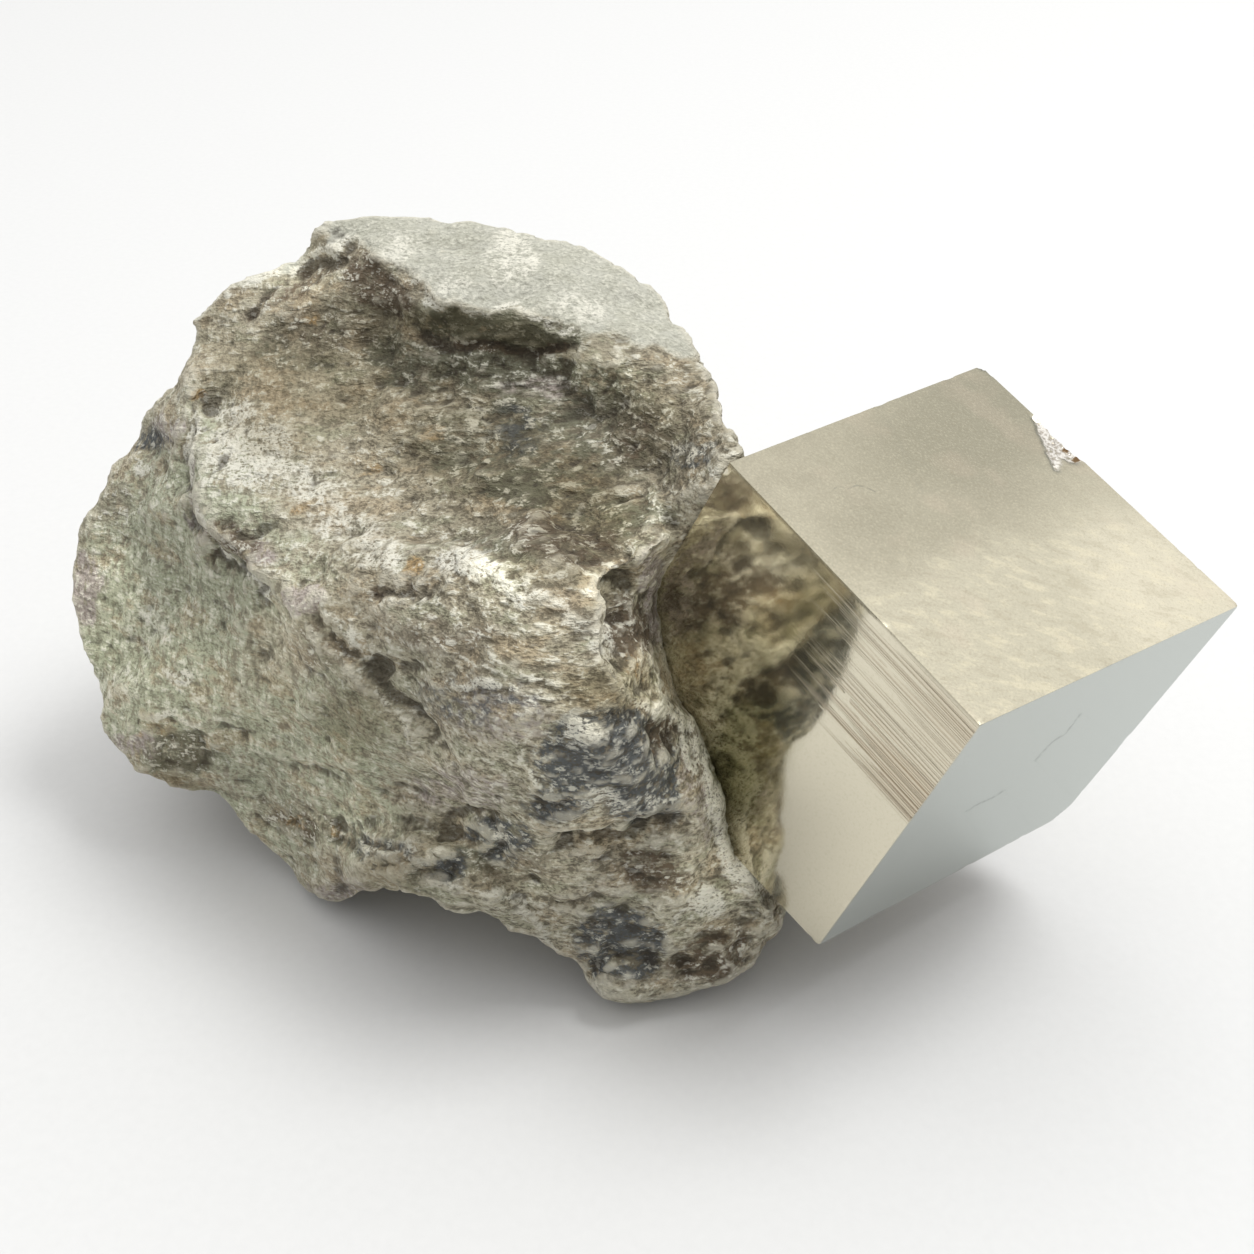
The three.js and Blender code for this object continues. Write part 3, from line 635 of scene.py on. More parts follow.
GREEN_PLACES = [(165, 600, 90, 180, 12, 0.7), (300, 770, 110, 90, 20, 0.5), (300, 560, 60, 30, 20, 0.3)]
# Painted shade in olive on the wall under the slab's edge
LIP_WALL_SHADE_LINES = [([(425, 318), (450, 325), (480, 327), (510, 331), (540, 335), (585, 335)], 17, 1.0)]
# Olive: some of the stone's own olive, and painted shade under the lip, in the scoop and in pits
OLIVE_AND_SHADE_PLACES = [
    (470, 445, 60, 34, 20, 0.5), (620, 430, 60, 50, 0, 0.45), (520, 545, 60, 22, 10, 0.4),
    (525, 489, 36, 14, 0, 0.95), (505, 372, 76, 24, 5, 0.9), (515, 430, 34, 32, 0, 0.6),
    (440, 870, 30, 18, 0, 0.6), (620, 520, 60, 24, 0, 0.5), (600, 420, 60, 60, 0, 0.5),
    (180, 752, 40, 20, 0, 0.6), (400, 360, 50, 30, 20, 0.5), (480, 860, 30, 14, 0, 0.5),
    (560, 450, 40, 60, -30, 0.4), (300, 345, 50, 30, 0, 0.35), (330, 835, 30, 14, 20, 0.5),
]
LILAC_PLACES = [
    (85, 585, 14, 34, 0, 0.8), (305, 599, 26, 15, 10, 0.8), (652, 600, 10, 46, 0, 0.9),
    (500, 712, 60, 30, 0, 0.35), (195, 500, 8, 60, 0, 0.4), (170, 430, 24, 16, 0, 0.5),
    (460, 790, 60, 24, 0, 0.35), (700, 800, 20, 60, -20, 0.4), (345, 895, 40, 14, 0, 0.4),
    (540, 385, 40, 12, 0, 0.3), (256, 552, 24, 14, 20, 0.5), (130, 745, 24, 14, 0, 0.6),
]
# Painted shade: ovals where the stone is darkened for the shade under the slab's edge, across the scoop, in
# hollows and under the arch
PAINTED_SHADE_PLACES = [
    (320, 380, 110, 46, 15, 0.75), (480, 450, 120, 60, 25, 0.8), (580, 505, 64, 50, 40, 1.0),
    (556, 560, 40, 30, 0, 0.6), (660, 430, 56, 60, 0, 0.6), (380, 330, 50, 30, 30, 0.7),
    (500, 500, 70, 30, 0, 0.5), (450, 324, 60, 14, 8, 1.0), (520, 334, 50, 14, 8, 1.0),
    (275, 430, 50, 30, 0, 0.6), (170, 792, 40, 26, 20, 0.8), (352, 722, 36, 32, 40, 0.7),
    (395, 875, 50, 18, 0, 0.6), (350, 575, 40, 24, 20, 0.25), (610, 690, 50, 30, -10, 0.9),
    (340, 315, 40, 30, 0, 0.5),
]
# Painted light: ovals where the stone's colour is lightened for the light falling on the front, the left
# flank and the rim
PAINTED_LIGHT_PLACES = [
    (100, 610, 40, 70, 0, 0.9), (170, 690, 70, 70, 0, 0.7), (250, 690, 70, 60, 20, 0.5),
    (300, 630, 50, 50, 0, 0.6), (550, 690, 60, 80, -20, 0.6), (560, 780, 46, 26, 0, 0.6),
    (90, 700, 30, 60, 0, 0.5), (250, 840, 40, 40, 0, 0.4), (660, 700, 40, 30, 30, 0.5),
    (500, 610, 60, 30, 10, 0.4), (500, 770, 40, 30, 0, 0.3), (500, 577, 36, 26, 0, 0.9),
    (604, 580, 26, 26, 0, 0.9), (602, 376, 44, 20, 20, 1.0), (650, 400, 30, 20, 30, 0.5),
    (706, 876, 44, 36, 0, 1.0), (700, 780, 36, 60, 0, 0.7), (480, 838, 60, 30, 0, 0.7),
    (350, 826, 44, 34, 0, 0.7), (700, 680, 30, 50, 0, 0.8), (640, 524, 40, 26, 0, 0.7),
    (520, 872, 60, 26, 0, 0.6), (300, 276, 40, 26, -20, 0.7), (600, 826, 40, 26, 0, 0.6),
    (560, 768, 60, 34, 0, 0.6), (440, 700, 60, 40, 0, 0.3), (470, 780, 60, 40, 0, 0.4),
    (330, 770, 50, 40, 0, 0.4), (650, 570, 26, 30, 0, 0.6), (668, 690, 46, 50, 0, 1.0),
    (556, 776, 36, 26, 0, 0.9), (656, 775, 24, 30, 0, 0.6), (640, 930, 50, 30, 0, 0.4),
    (620, 950, 40, 30, 0, 0.4), (720, 930, 40, 30, 0, 0.5),
]

# Each colour's ovals, lines and mirrored ovals. Then its patches on the unseen sides: strength, range of the
# noise that shows, size in mm, seed and octaves.
# Some of these masks carry painted light and painted shade, as noted where their places are listed
STONE_COLOURS = {
    "olive_and_shade": (OLIVE_AND_SHADE_PLACES, LIP_WALL_SHADE_LINES, MIRROR_OLIVE_AND_SHADE, None),
    "pale": (PALE_PLACES, PALE_LINES, MIRROR_PALE_AND_LIGHT, (0.7, 0.3, 0.9, 4, 23, 2)),
    "blue": (BLUE_PLACES, [], MIRROR_BLUE, (0.5, 0.35, 0.9, 7, 25, 3)),
    "umber_and_shade": (UMBER_AND_SHADE_PLACES, SHADE_LINES, MIRROR_UMBER_AND_SHADE, (0.4, 0.05, 0.6, 9, 21, 2)),
    "rust": (RUST_PLACES, [], [], (0.35, 0.6, 0.95, 4, 27, 2)),
    "green": (GREEN_PLACES, [], [], (0.7, -0.2, 0.6, 14, 29, 2)),
    "lilac": (LILAC_PLACES, [], [], (0.5, 0.4, 0.8, 8, 31, 2)),
    "painted_shade": (PAINTED_SHADE_PLACES, [], [], None),
    "shaded": ([], [], MIRROR_SHADED, None),
    "painted_light": (PAINTED_LIGHT_PLACES, [], MIRROR_PAINTED_LIGHT, None),
}


def paint(skin, places, lines=()):
    """One colour mask from ovals and lines."""
    mask = skin.in_ovals(places)
    for path, half_width, strength in lines:
        away, _, ends = skin.near_path(path, bent=path is not LIP_CREVICE)
        mask = np.maximum(mask, strength * ends * (1 - smooth_step(0.3, 1.3, away / half_width)))
    return mask * skin.seen


def record_mask(piece, title, values):
    """Keeps a mask on the mesh, for the material to read."""
    layer = piece.data.attributes.new(title, "FLOAT", "POINT")
    layer.data.foreach_set("value", np.clip(values, 0, 1).astype(np.float32))


def colour_masks(piece):
    """Records the stone's zones and colour places, and where it stands proud or sinks."""
    skin = Skin(piece)
    zone = zones(skin)
    flank = skin.mirrored()
    hidden = (1 - skin.seen) * (1 - 0.8 * flank.seen)
    record_mask(piece, "slab", zone["cap"])
    record_mask(piece, "basin", zone["scoop"])
    record_mask(piece, "flank", zone["left"])
    record_mask(piece, "calm", 0.8 * zone["cap"] + 0.75 * lip_wall(skin) + 0.6 * flank.seen)
    record_mask(piece, "faced", skin.spread(skin.seen, 8))
    for title, (ovals, lines, mirrored_ovals, patches) in STONE_COLOURS.items():
        mask = paint(skin, ovals, lines) + paint(flank, mirrored_ovals)
        if patches:
            strength, low, high, *noise_settings = patches
            mask += hidden * strength * smooth_step(low, high, skin.grain(*noise_settings))
        record_mask(piece, title, mask)
    # How far each point stands proud or sinks, which the material turns into painted shade in hollows and
    # painted highlights on proud places
    proud = np.zeros(len(skin.points))
    for rounds, full_mm in ((3, 0.09), (14, 0.35)):
        height = np.einsum("ij,ij->i", skin.points - skin.evened(rounds), skin.normals) / MM
        proud += 0.5 * np.clip(height / full_mm, -1, 1)
    record_mask(piece, "proud", 0.5 + 0.5 * proud)


colour_masks(stone)
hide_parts("matrix_rock")
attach(stone, "root")

# Crystal: the cuts across each face. On the left face, how far down the growth lines reach and their pitch
# in mm, their greatest number, the length in mm that the line measure spans, and the lines drawn in each mm.
FACE_CUTS = 104
LINE_BAND = 10.4
LINE_PITCH = 0.24
LINE_COUNT = 400
ROW_SPAN = 40
LINES_PER_MM = 6

# Worn corners, with how much is off along their edges in mm, and how deep a cut goes for each mm of that
CORNER_WEAR = [(LOW_RIGHT, 1.2), (TOP_BACK, 0.5), (TOP_FRONT, 0.12), (LOW_FRONT, 0.15), (TOP_RIGHT, 0.12)]
CORNER_DEPTH = 0.58

# Marks on the crystal in the frame. A scratch has its path, its width as a share of its reach, and its depth.
CHIP_OUTLINE = [
    (1033, 416), (1046, 424), (1062, 436), (1083, 459), (1074, 463), (1063, 456), (1058, 473), (1049, 455),
    (1041, 436),
]
ZONE_EDGE = [
    (840, 610), (858, 593), (878, 577), (921, 553), (977, 530), (1036, 526), (1095, 498), (1135, 510),
    (1160, 520),
]
# Places where the top face is given a darker tone
DARKER_PLACES = [(985, 425, 140, 60, -15, 1.0), (940, 500, 120, 50, -15, 0.5)]
# Painted highlight: the top face lightened at its lower right, where it mirrors the bright room
PAINTED_HIGHLIGHT_PLACES = [(1185, 600, 110, 70, 35, 1.0)]
# Painted shade on the left face beside the stone, darkening the stone's reflection there
SEAM_SHADE_PLACES = [(746, 752, 38, 74, 14, 1.0), (815, 625, 40, 40, 0, 0.35)]
BROWN_SPECKS = [(1067, 448, 4, 3), (1078, 458, 5, 3)]
SCRATCHES = [
    ([(1082, 712), (1066, 733), (1052, 742), (1034, 762)], 0.06, 0.9),
    ([(1006, 789), (992, 798), (978, 804), (964, 813)], 0.06, 0.9),
    ([(829, 493), (838, 486), (848, 489), (857, 485), (868, 488), (877, 493)], 0.045, 0.7),
    ([(886, 419), (900, 444), (912, 470), (922, 494)], 0.2, 0.16),
]


def crystal_block():
    """A cube primitive pulled to the crystal's corners and divided finely."""
    bpy.ops.object.select_all(action="DESELECT")
    bpy.ops.mesh.primitive_cube_add(size=2, location=(0, 0, 0))
    piece = bpy.context.active_object
    piece.name = "pyrite_crystal"
    piece.data.name = "pyrite_crystal"
    sides = [(-1, 1), (-1, -1), (1, -1), (1, 1)]
    places = {side + (level,): corner for level, ring in ((1, TOP_RING), (-1, LOW_RING))
              for side, corner in zip(sides, ring)}
    for vertex in piece.data.vertices:
        vertex.co = Vector(places[tuple(round(c) for c in vertex.co)]) * MM
    pick_only(piece)
    bpy.ops.object.mode_set(mode="EDIT")
    bpy.ops.mesh.select_all(action="SELECT")
    bpy.ops.mesh.subdivide(number_cuts=FACE_CUTS)
    bpy.ops.object.mode_set(mode="OBJECT")
    return piece


def face_sheet(points, origin, along_u, along_v):
    """Depth below a face's plane, and the places across and down it, all in mm."""
    o, u, v = (np.array(corner) for corner in (origin, along_u, along_v))
    u_way = (u - o) / np.linalg.norm(u - o)
    v_way = (v - o) - ((v - o) @ u_way) * u_way
    v_way /= np.linalg.norm(v_way)
    offset = points / MM - o
    return np.abs(offset @ np.cross(u_way, v_way)), offset @ u_way, offset @ v_way


def growth_lines(skin, left_u, left_v):
    """How strongly the lines show on the left face, and how deep they are cut in mm."""
    draw = np.random.RandomState(7)
    rows = np.clip(np.round(left_v / LINE_PITCH).astype(int), 0, LINE_COUNT - 1)
    depths = draw.rand(LINE_COUNT)[rows] ** 2
    reach = 3 + 13 * draw.rand(LINE_COUNT)[rows]
    strength = (smooth_step(0.15, 0.5, left_v) * (1 - smooth_step(LINE_BAND - 0.8, LINE_BAND, left_v))
                * (0.35 + 0.65 * smooth_step(5.5, 7, left_v) + 0.35 * (1 - smooth_step(1.5, 3, left_v)))
                * (1 - smooth_step(0.3, 1, left_u / reach)))
    return strength, strength * 0.012 * depths * (0.6 + 0.4 * skin.grain(3, 41))


def wear_edges(skin, moved):
    """Small nicks along the crystal's twelve edges."""
    edges = [pair for ring in (TOP_RING, LOW_RING) for pair in zip(ring, ring[1:] + ring[:1])]
    nick = smooth_step(0.5, 0.95, skin.grain(0.9, 49)) * 0.05
    for first, second in edges + list(zip(TOP_RING, LOW_RING)):
        start, end = np.array(first) * MM, np.array(second) * MM
        way = (end - start) / np.linalg.norm(end - start)
        off = skin.points - start
        on_edge = np.linalg.norm(off - np.outer(off @ way, way), axis=1) / MM < 0.02
        moved[on_edge] -= skin.normals[on_edge] * (nick[on_edge] * MM)[:, None]


def wear_corners(moved):
    """Cuts the worn corners off square to the way they point."""
    middle = np.mean(TOP_RING + LOW_RING, axis=0) * MM
    for corner, cut_mm in CORNER_WEAR:
        outward = np.array(corner) * MM - middle
        outward /= np.linalg.norm(outward)
        past = (moved - np.array(corner) * MM) @ outward + cut_mm * CORNER_DEPTH * MM
        worn = past > 0
        moved[worn] -= outward * past[worn][:, None]


def inside_outline(x, y, outline):
    """1 for points inside a closed outline in the frame."""
    inside = np.zeros(len(x), dtype=bool)
    for (x0, y0), (x1, y1) in zip(outline, outline[1:] + outline[:1]):
        crosses = (y0 > y) != (y1 > y)
        inside ^= crosses & (x < (x1 - x0) * (y - y0) / (y1 - y0 + 1e-9) + x0)
    return inside * 1.0


def shape_crystal(piece):
    """Growth lines on the left face, a grown-over zone on the top, the chip, and worn edges and corners."""
    skin = Skin(piece)
    top_depth = face_sheet(skin.points, TOP_FRONT, TOP_LEFT, TOP_RIGHT)[0]
    left_depth, left_u, left_v = face_sheet(skin.points, TOP_FRONT, TOP_LEFT, LOW_FRONT)
    right_depth = face_sheet(skin.points, TOP_FRONT, TOP_RIGHT, LOW_FRONT)[0]
    on_top, on_left, on_right = (1.0 * (depth < 0.05) for depth in (top_depth, left_depth, right_depth))
    lines, line_depths = growth_lines(skin, left_u, left_v)
    away, hand, _ = skin.near_path(ZONE_EDGE)
    bright = on_top * smooth_step(-26, 44, hand * away + 8 * skin.grain(1.2, 42, 2))
    chip = skin.spread(on_top * inside_outline(skin.across, skin.down, CHIP_OUTLINE), 1)
    height = bright * (0.012 + 0.006 * skin.grain(0.9, 43, 2)) + on_top * 0.004 * skin.grain(1.6, 45, 2)
    height -= on_left * line_depths + 0.3 * chip * (0.7 + 0.5 * skin.grain(0.5, 47))
    moved = skin.points + skin.normals * height[:, None] * MM
    wear_edges(skin, moved)
    wear_corners(moved)
    place_points(piece, moved)
    specks = sum(skin.in_oval(*speck, bent=False) for speck in BROWN_SPECKS)
    # Among these masks are a painted highlight on the top and painted shade beside the stone
    masks = {
        "top_face": on_top, "left_face": on_left * (1 - on_top),
        "right_face": on_right * (1 - on_top) * (1 - on_left),
        "line_row": left_v / ROW_SPAN, "line_reach": on_left * lines, "bright_zone": bright,
        "darker_zone": on_top * skin.in_ovals(DARKER_PLACES), "painted_highlight_zone": on_top * skin.in_ovals(PAINTED_HIGHLIGHT_PLACES),
        "seam_shade": skin.in_ovals(SEAM_SHADE_PLACES), "residue": chip, "brown_specks": on_top * specks,
    }
    for number, (path, _, _) in enumerate(SCRATCHES, 1):
        away, hand, ends = skin.near_path(path, bent=False)
        masks[f"scratch_{number}"] = np.where(ends > 0.4, 0.5 + 0.5 * hand * np.clip(away / 12, 0, 1), 1)
    for title, values in masks.items():
        record_mask(piece, title, values)


crystal = crystal_block()
shape_crystal(crystal)
pick_only(crystal)
bpy.ops.object.shade_smooth_by_angle(angle=math.radians(35))
keep_in_box(crystal)
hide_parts("pyrite_cube")
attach(crystal, "root")


def fill(node, values):
    """Links a node's inputs to outputs, or sets them to plain values."""
    for socket, value in values.items():
        if hasattr(value, "is_output"):
            node.id_data.links.new(value, node.inputs[socket])
        else:
            node.inputs[socket].default_value = value


def add_node(tree, kind, values, **settings):
    """A new node with its settings and its inputs."""
    node = tree.nodes.new(kind)
    for title, setting in settings.items():
        setattr(node, title, setting)
    fill(node, values)
    return node


def grain_group():
    """The soft grain that every finish here has, stretched, turned and shifted as a material asks."""
    group = bpy.data.node_groups.new("soft_grain", "ShaderNodeTree")
    for title, kind in (("Place", "Vector"), ("Scale", "Vector"), ("Turn", "Vector"), ("Shift", "Vector"),
                        ("Detail", "Float"), ("Roughness", "Float")):
        group.interface.new_socket(name=title, in_out="INPUT", socket_type="NodeSocket" + kind)
    group.interface.new_socket(name="Grain", in_out="OUTPUT", socket_type="NodeSocketFloat")
    given = group.nodes.new("NodeGroupInput").outputs
    mapping = add_node(group, "ShaderNodeMapping", {
        "Vector": given["Place"], "Scale": given["Scale"],
        "Rotation": given["Turn"], "Location": given["Shift"]})
    texture = add_node(group, "ShaderNodeTexNoise", {
        "Vector": mapping.outputs["Vector"], "Scale": 1, "Detail": given["Detail"],
        "Roughness": given["Roughness"]})
    add_node(group, "NodeGroupOutput", {"Grain": texture.outputs["Fac"]})
    return group


SOFT_GRAIN = grain_group()


class Mixture:
    """Short ways to add nodes to one material."""

    def __init__(self, name):
        self.material = bpy.data.materials.new(name)
        self.material.use_nodes = True
        self.tree = self.material.node_tree
        self.shader = self.tree.nodes["Principled BSDF"]
        self.place = self.add("ShaderNodeTexCoord", {}).outputs["Object"]

    def add(self, kind, values, **settings):
        return add_node(self.tree, kind, values, **settings)

    def grain(self, per_mm, stretch=(1, 1, 1), turn_deg=(0, 0, 0), detail=3, rough=0.55, shift=0):
        """The shared soft grain, with this many grains to the mm."""
        return self.add("ShaderNodeGroup", {
            "Place": self.place, "Scale": [per_mm / MM / size for size in stretch],
            "Turn": [math.radians(angle) for angle in turn_deg], "Shift": (shift, shift * 1.7, shift * 0.6),
            "Detail": detail, "Roughness": rough}, node_tree=SOFT_GRAIN).outputs["Grain"]

    def cells(self, per_mm, stretch, warp):
        """Distance from the middles of cells whose borders noise bends."""
        scale = [per_mm / MM / size for size in stretch]
        spot = self.add("ShaderNodeMapping", {"Vector": self.place, "Scale": scale}).outputs["Vector"]
        bend = self.add("ShaderNodeTexNoise", {"Vector": spot, "Scale": 1.3, "Detail": 3}).outputs["Color"]
        values = {0: bend, 1: (warp, warp, warp), 2: spot}
        bent = self.add("ShaderNodeVectorMath", values, operation="MULTIPLY_ADD").outputs[0]
        return self.add("ShaderNodeTexVoronoi", {"Vector": bent, "Scale": 1}).outputs["Distance"]

    def mask(self, title):
        """A mask recorded on the piece."""
        return self.add("ShaderNodeAttribute", {}, attribute_name=title).outputs["Fac"]

    def rows(self, title, per_measure):
        """Noise along one painted measure only, for straight parallel lines."""
        values = {"Scale": per_measure, "Detail": 3, "Roughness": 0.7, "W": self.mask(title)}
        return self.add("ShaderNodeTexNoise", values, noise_dimensions="1D").outputs["Fac"]

    def reckon(self, operation, first, second=0.0):
        """One step of arithmetic."""
        return self.add("ShaderNodeMath", {0: first, 1: second}, operation=operation).outputs[0]

    def times(self, first, second):
        return self.reckon("MULTIPLY", first, second)

    def plus(self, first, second):
        return self.reckon("ADD", first, second)

    def less(self, first, second):
        return self.reckon("SUBTRACT", first, second)

    def rest(self, share):
        """What a share leaves of 1."""
        return self.reckon("SUBTRACT", 1.0, share)

    def rescale(self, value, low, high, to_low=0.0, to_high=1.0):
        """A range of values eased onto another range."""
        values = {"Value": value, "From Min": low, "From Max": high, "To Min": to_low, "To Max": to_high}
        return self.add("ShaderNodeMapRange", values, interpolation_type="SMOOTHSTEP").outputs["Result"]

    def patch(self, title, ragged, low=0.1, high=0.55):
        """A mask broken up by the grain."""
        return self.rescale(self.times(self.mask(title), self.plus(ragged, 0.45)), low, high)

    def blend(self, share, first, second, mode="MIX"):
        """Two colours blended by a share."""
        values = {0: share, 6: first, 7: second}
        return self.add("ShaderNodeMix", values, data_type="RGBA", blend_type=mode).outputs[2]

    def layer(self, colour, coats, mode="MIX"):
        """Coats of colour laid over one another, each with its share."""
        for share, hue in coats:
            colour = self.blend(share, colour, hue, mode)
        return colour

    def bump(self, height, distance_mm, strength=1.0):
        """Fine relief of the surface."""
        values = {"Height": height, "Distance": distance_mm * MM, "Strength": strength}
        return self.add("ShaderNodeBump", values).outputs["Normal"]

    def finish(self, **inputs):
        """Gives the shader its inputs, named as its sockets with _ for each space."""
        fill(self.shader, {title.replace("_", " "): value for title, value in inputs.items()})
        return self.material


def tone(red, green, blue):
    """A colour given as it looks on a screen, 0 to 255."""
    return tuple((value / 255 / 12.92 if value < 11 else ((value / 255 + 0.055) / 1.055) ** 2.4)
                 for value in (red, green, blue)) + (1,)


def marl_grain(m):
    """The stone's streaks along its bedding, its specks and its scales, crumbly on the open front."""
    flank = m.mask("flank")
    open_front = m.times(m.rest(m.times(flank, 0.7)), m.rest(m.times(m.mask("basin"), 0.85)))
    flat = m.grain(1.3, (1.9, 1.4, 0.55), (8, 4, 0), 5, 0.6)
    steep = m.grain(1.4, (0.65, 1.1, 1.5), (0, -28, 0), 5, 0.6, shift=5)
    crumbs = m.grain(1.7, (1.15, 1.0, 0.8), detail=5, rough=0.66, shift=17)
    streaks = m.plus(m.times(flat, m.rest(flank)), m.times(steep, flank))
    streaks = m.plus(streaks, m.times(m.less(crumbs, streaks), m.times(open_front, 0.85)))
    specks = m.grain(4.6, (1.4, 1.2, 0.8), detail=2, rough=0.6, shift=9)
    scales = m.cells(1.2, (1.9, 1.4, 0.55), 1.4)
    nuggets = m.cells(1.5, (1.2, 1.0, 0.75), 1.0)
    return streaks, specks, m.plus(scales, m.times(m.less(nuggets, scales), open_front))


def marl_tones(m, streaks):
    """The stone's broad colours and its patches, and the ragged mix of grains that breaks them up."""
    broad = m.grain(0.13, detail=3, rough=0.6, shift=3)
    middling = m.grain(0.5, (1.4, 1.2, 0.8), detail=3, rough=0.6, shift=13)
    drift = m.grain(0.34, (1.5, 1.2, 0.7), detail=4, rough=0.7, shift=31)
    ragged = m.plus(m.rescale(streaks, 0.38, 0.62), m.rescale(middling, 0.35, 0.65, -0.25, 0.25))
    slab_tone = m.blend(m.rescale(middling, 0.35, 0.65), tone(186, 185, 171), tone(194, 193, 181))
    colour = m.layer(m.blend(m.rescale(broad, 0.4, 0.62), tone(203, 194, 171), tone(190, 184, 161)), (
        # The basin's darker tone: partly the stone's own colour, partly painted shade
        (m.mask("basin"), tone(168, 160, 139)),
        (m.patch("green", ragged), tone(188, 190, 165)),
        (m.rescale(drift, 0.5, 0.62, 0.0, 0.5), tone(187, 167, 136)),
        (m.rescale(drift, 0.47, 0.36, 0.0, 0.4), tone(160, 166, 138)),
        (m.mask("slab"), slab_tone),
        # Olive: the stone's own olive, and painted shade under the slab's edge and in the scoop
        (m.patch("olive_and_shade", ragged), tone(122, 121, 101)),
        (m.patch("lilac", ragged), tone(178, 167, 160)),
        (m.patch("blue", ragged, 0.05, 0.45), tone(88, 91, 92)),
        # Umber: the stone's own brown, and painted shade in crevices and recesses
        (m.patch("umber_and_shade", ragged), tone(106, 92, 74)),
        (m.patch("rust", ragged), tone(176, 150, 108))))
    return colour, ragged


def marl_chips(m, colour, ragged, streaks, specks, scales):
    """Dark and light chips and pale films, with painted shade in the hollows and painted highlights on proud
    places.
    """
    slab, calm, proud = m.mask("slab"), m.mask("calm"), m.mask("proud")
    grit = m.plus(m.times(streaks, m.rescale(slab, 0.0, 1.0, 0.65, 0.25)),
                  m.times(specks, m.rescale(slab, 0.0, 1.0, 0.35, 0.75)))
    brink = m.times(m.rescale(scales, 0.2, 0.7, -0.03, 0.04), m.rescale(m.mask("faced"), 0.0, 1.0, 0.4, 1.0))
    grit = m.less(grit, m.times(brink, m.rest(slab)))
    dark = m.times(m.rescale(grit, 0.5, 0.4), m.rest(m.times(calm, 0.85)))
    light = m.times(m.rescale(grit, 0.5, 0.58), m.rescale(scales, 0.8, 0.3))
    light = m.times(light, m.rest(m.times(calm, 0.6)))
    light = m.times(light, m.rest(m.times(m.mask("blue"), 0.4)))
    colour = m.layer(colour, (
        (m.times(dark, m.rescale(m.mask("flank"), 0.0, 1.0, 0.7, 0.5)), tone(84, 76, 60)),
        (m.times(light, 0.75), tone(240, 237, 222)),
        (m.times(m.patch("pale", ragged, 0.15, 0.7), m.rescale(specks, 0.34, 0.5)), tone(232, 229, 216)),
        # Painted shade in the hollows and painted highlights on proud places
        (m.rescale(proud, 0.46, 0.15, 0.0, 0.7), tone(56, 48, 36)),
        (m.rescale(proud, 0.56, 0.85, 0.0, 0.5), tone(228, 223, 206))))
    return colour, light


def marl_material():
    """Foliated grey-green marl, weathered in places, with painted light and painted shade laid over it."""
    m = Mixture("marl")
    streaks, specks, scales = marl_grain(m)
    colour, ragged = marl_tones(m, streaks)
    colour, light = marl_chips(m, colour, ragged, streaks, specks, scales)
    # Painted light lightens some ovals and painted shade darkens others, then the whole stone is made a
    # little darker
    colour = m.layer(colour, (
        (m.mask("painted_light"), (1.5, 1.5, 1.46, 1)),
        (m.mask("painted_shade"), tone(198, 192, 176)),
        (m.mask("shaded"), tone(166, 166, 146)),
        (1.0, tone(235, 235, 233))), "MULTIPLY")
    height = m.less(m.plus(streaks, m.times(specks, 0.34)), m.times(scales, 0.8))
    height = m.times(height, m.rest(m.times(m.mask("slab"), 0.45)))
    roughness = m.rescale(light, 0.0, 1.0, 0.9, 0.6)
    return m.finish(Base_Color=colour, Roughness=roughness, Normal=m.bump(height, 0.52))


def pyrite_tones(m, left, right, bright):
    """The metal's tone with a painted reflection on each face, darker and brighter places on the top with a
    painted highlight, and painted shade beside the stone.
    """
    cloud = m.rescale(m.grain(0.11, detail=3, rough=0.6), 0.36, 0.62)
    colour = m.layer(m.blend(cloud, tone(168, 162, 143), tone(178, 172, 152)), (
        (bright, tone(187, 181, 161)),
        (m.times(m.mask("darker_zone"), 0.8), tone(154, 149, 130)),
        # Painted highlight on the top's lower right
        (m.times(m.mask("painted_highlight_zone"), 0.85), tone(207, 200, 179)),
        # Painted reflection: the right face greyer and the left face paler, for what each face mirrors
        (right, tone(200, 200, 193)),
        (left, tone(224, 217, 196))))
    # Painted shade on the left face beside the stone
    return m.blend(m.times(m.mask("seam_shade"), left), colour, tone(188, 189, 170), "MULTIPLY")


def pyrite_bloom(m, colour, top, bright, sandy, wisps):
    """Painted sparkle of sandy grains, wisps and fine dust on the faces, and a faint blush on the top."""
    dusty = m.times(m.rescale(sandy, 0.48, 0.32), m.plus(m.times(top, 0.06), 0.12))
    dusty = m.plus(dusty, m.times(m.rescale(wisps, 0.46, 0.36, 0.0, 0.16), bright))
    blush = m.rescale(m.grain(0.2, detail=2, shift=21), 0.54, 0.7, 0.0, 0.12)
    return m.layer(colour, (
        # Painted sparkle: sandy grains lightened on the top
        (m.times(m.rescale(sandy, 0.5, 0.7, 0.0, 0.18), top), tone(220, 212, 186)),
        (m.times(m.rescale(wisps, 0.5, 0.66, 0.0, 0.34), bright), tone(222, 213, 184)),
        (dusty, tone(140, 128, 102)),
        (m.times(blush, top), tone(216, 196, 176))))


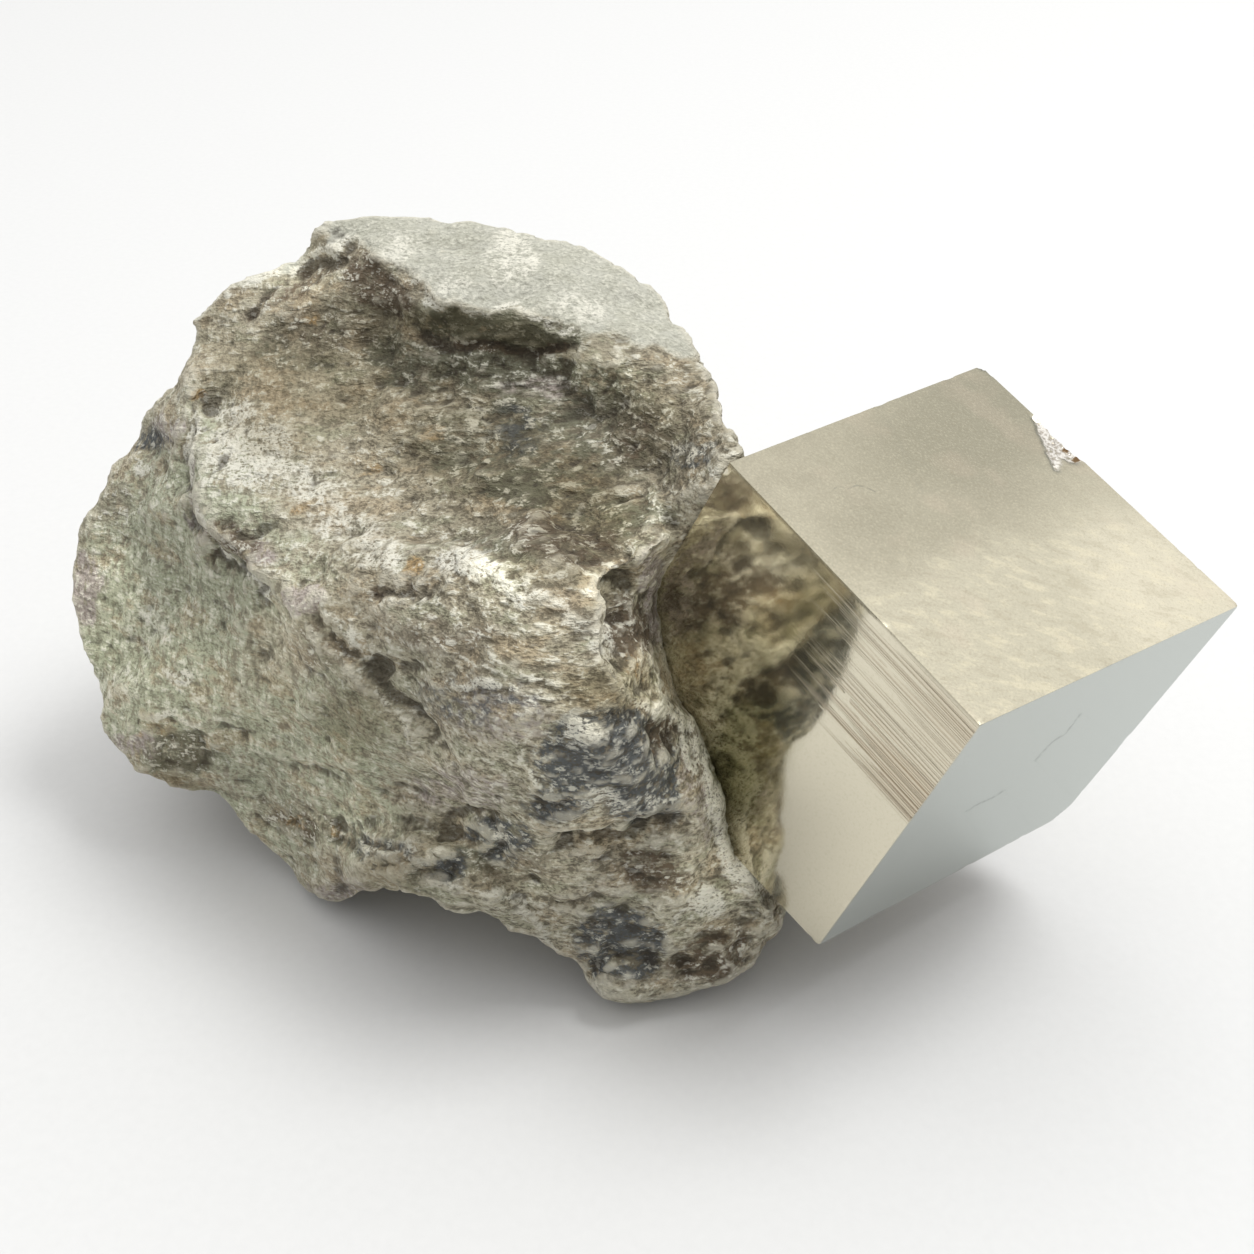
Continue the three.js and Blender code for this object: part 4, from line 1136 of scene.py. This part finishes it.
def pyrite_marks(m, colour, fine):
    """Growth lines, scratches, the whitish residue in the chip and its brown specks."""
    reach = m.mask("line_reach")
    lines = m.times(reach, m.rescale(m.rows("line_row", ROW_SPAN * LINES_PER_MM), 0.5, 0.62))
    scratches = 0.0
    for number, (_, width, depth) in enumerate(SCRATCHES, 1):
        off_line = m.reckon("ABSOLUTE", m.less(m.mask(f"scratch_{number}"), 0.5))
        broken = m.rescale(fine, 0.4, 0.56, 0.1 * depth, depth)
        share = m.times(m.rescale(off_line, width, width * 0.3), broken)
        scratches = m.reckon("MAXIMUM", scratches, share)
    residue = m.times(m.mask("residue"), m.rescale(fine, 0.3, 0.45))
    residue_tone = m.blend(m.rescale(fine, 0.4, 0.6), tone(160, 153, 144), tone(216, 213, 207))
    specks = m.rescale(m.times(m.mask("brown_specks"), m.plus(fine, 0.4)), 0.3, 0.7)
    colour = m.layer(colour, (
        (m.times(reach, 0.7), tone(203, 190, 167)),
        (m.times(lines, 0.62), tone(150, 126, 98)),
        (m.times(scratches, 0.6), tone(122, 122, 112)),
        (residue, residue_tone),
        (specks, tone(122, 100, 74))))
    return colour, lines, m.reckon("MAXIMUM", residue, specks)


def pyrite_material():
    """Pale brassy metal, matt on the top, with its lines, marks and painted reflections, and painted shade
    beside the stone.
    """
    m = Mixture("pyrite")
    fill(m.shader, {"Metallic": 0.95, "Specular Tint": (0.8, 0.84, 0.85, 1)})
    top, left, right = m.mask("top_face"), m.mask("left_face"), m.mask("right_face")
    bright = m.mask("bright_zone")
    fine = m.grain(3.2, detail=3, rough=0.65)
    sandy = m.grain(5.5, detail=2, rough=0.6, shift=4)
    wisps = m.grain(0.9, (2.2, 0.8, 1), (0, 0, 12), 5, 0.62, shift=8)
    colour = pyrite_bloom(m, pyrite_tones(m, left, right, bright), top, bright, sandy, wisps)
    colour, lines, matt = pyrite_marks(m, colour, fine)
    soft = m.plus(m.times(top, 0.19), m.rescale(fine, 0.3, 0.7, 0.03, 0.07))
    soft = m.plus(soft, m.plus(m.times(right, 0.08), m.times(left, 0.03)))
    soft = m.reckon("MAXIMUM", soft, m.times(matt, 0.8))
    relief = m.times(m.plus(sandy, m.times(wisps, bright)), m.plus(m.times(top, 0.4), 0.1))
    normal = m.bump(m.less(relief, m.times(lines, 1.5)), 0.03, 0.6)
    return m.finish(Base_Color=colour, Roughness=soft, Normal=normal)


def paper_material():
    """Matt white paper."""
    m = Mixture("floor_paper")
    colour = m.blend(m.grain(1.2, detail=2), tone(206, 206, 205), tone(211, 211, 210))
    return m.finish(Base_Color=colour, Roughness=0.9)


def dress(piece, material):
    """Gives a piece its one material."""
    piece.data.materials.clear()
    piece.data.materials.append(material)


dress(stone, marl_material())
dress(crystal, pyrite_material())

# Floor, light and surroundings
bpy.ops.object.select_all(action="DESELECT")
bpy.ops.mesh.primitive_plane_add(size=4, location=(0, 0, 0))
floor = bpy.context.active_object
floor.name = "floor"
dress(floor, paper_material())

# How high above the horizon the pale haze reaches, and its brightness at its foot and above it
HAZE_HEIGHTS, HAZE_TONES = (0.06, 0.36), (0.82, 0.1)


def soft_sky(horizon, overhead, behind, right):
    """A pale room, brightest overhead, with a slope towards the back and the right and a pale horizon."""
    world = bpy.data.worlds.new("soft_room")
    bpy.context.scene.world = world
    world.use_nodes = True
    room = world.node_tree
    way = add_node(room, "ShaderNodeTexCoord", {}).outputs["Generated"]
    parts = add_node(room, "ShaderNodeSeparateXYZ", {0: way}).outputs
    light = horizon
    for axis, slope in (("Z", overhead - horizon), ("Y", behind), ("X", right)):
        values = {0: parts[axis], 1: slope, 2: light}
        light = add_node(room, "ShaderNodeMath", values, operation="MULTIPLY_ADD").outputs[0]
    haze = add_node(room, "ShaderNodeMapRange", {
        "Value": parts["Z"], "From Min": HAZE_HEIGHTS[0], "From Max": HAZE_HEIGHTS[1],
        "To Min": HAZE_TONES[0], "To Max": HAZE_TONES[1]}).outputs["Result"]
    paler = add_node(room, "ShaderNodeMath", {0: light, 1: haze}, operation="MAXIMUM").outputs[0]
    fill(room.nodes["Background"], {"Color": paler})


def soft_light(name, place, aim, size, power):
    """A square panel of light that faces a point."""
    data = bpy.data.lights.new(name, "AREA")
    data.size = size
    data.energy = power
    lamp = bpy.data.objects.new(name, data)
    bpy.context.scene.collection.objects.link(lamp)
    lamp.location = place
    lamp.rotation_euler = (Vector(aim) - Vector(place)).to_track_quat("-Z", "Y").to_euler()


soft_sky(horizon=0.05, overhead=1.53, behind=0.43, right=-0.1)
soft_light("overhead_panel", (0.36, 0.03, 0.76), (0, 0, 0), size=0.3, power=4.0)
soft_light("window_panel", (0.44, 0.3, 0.31), (0.02, -0.01, 0.04), size=0.2, power=0.05)

bpy.context.scene.view_settings.view_transform = "Standard"
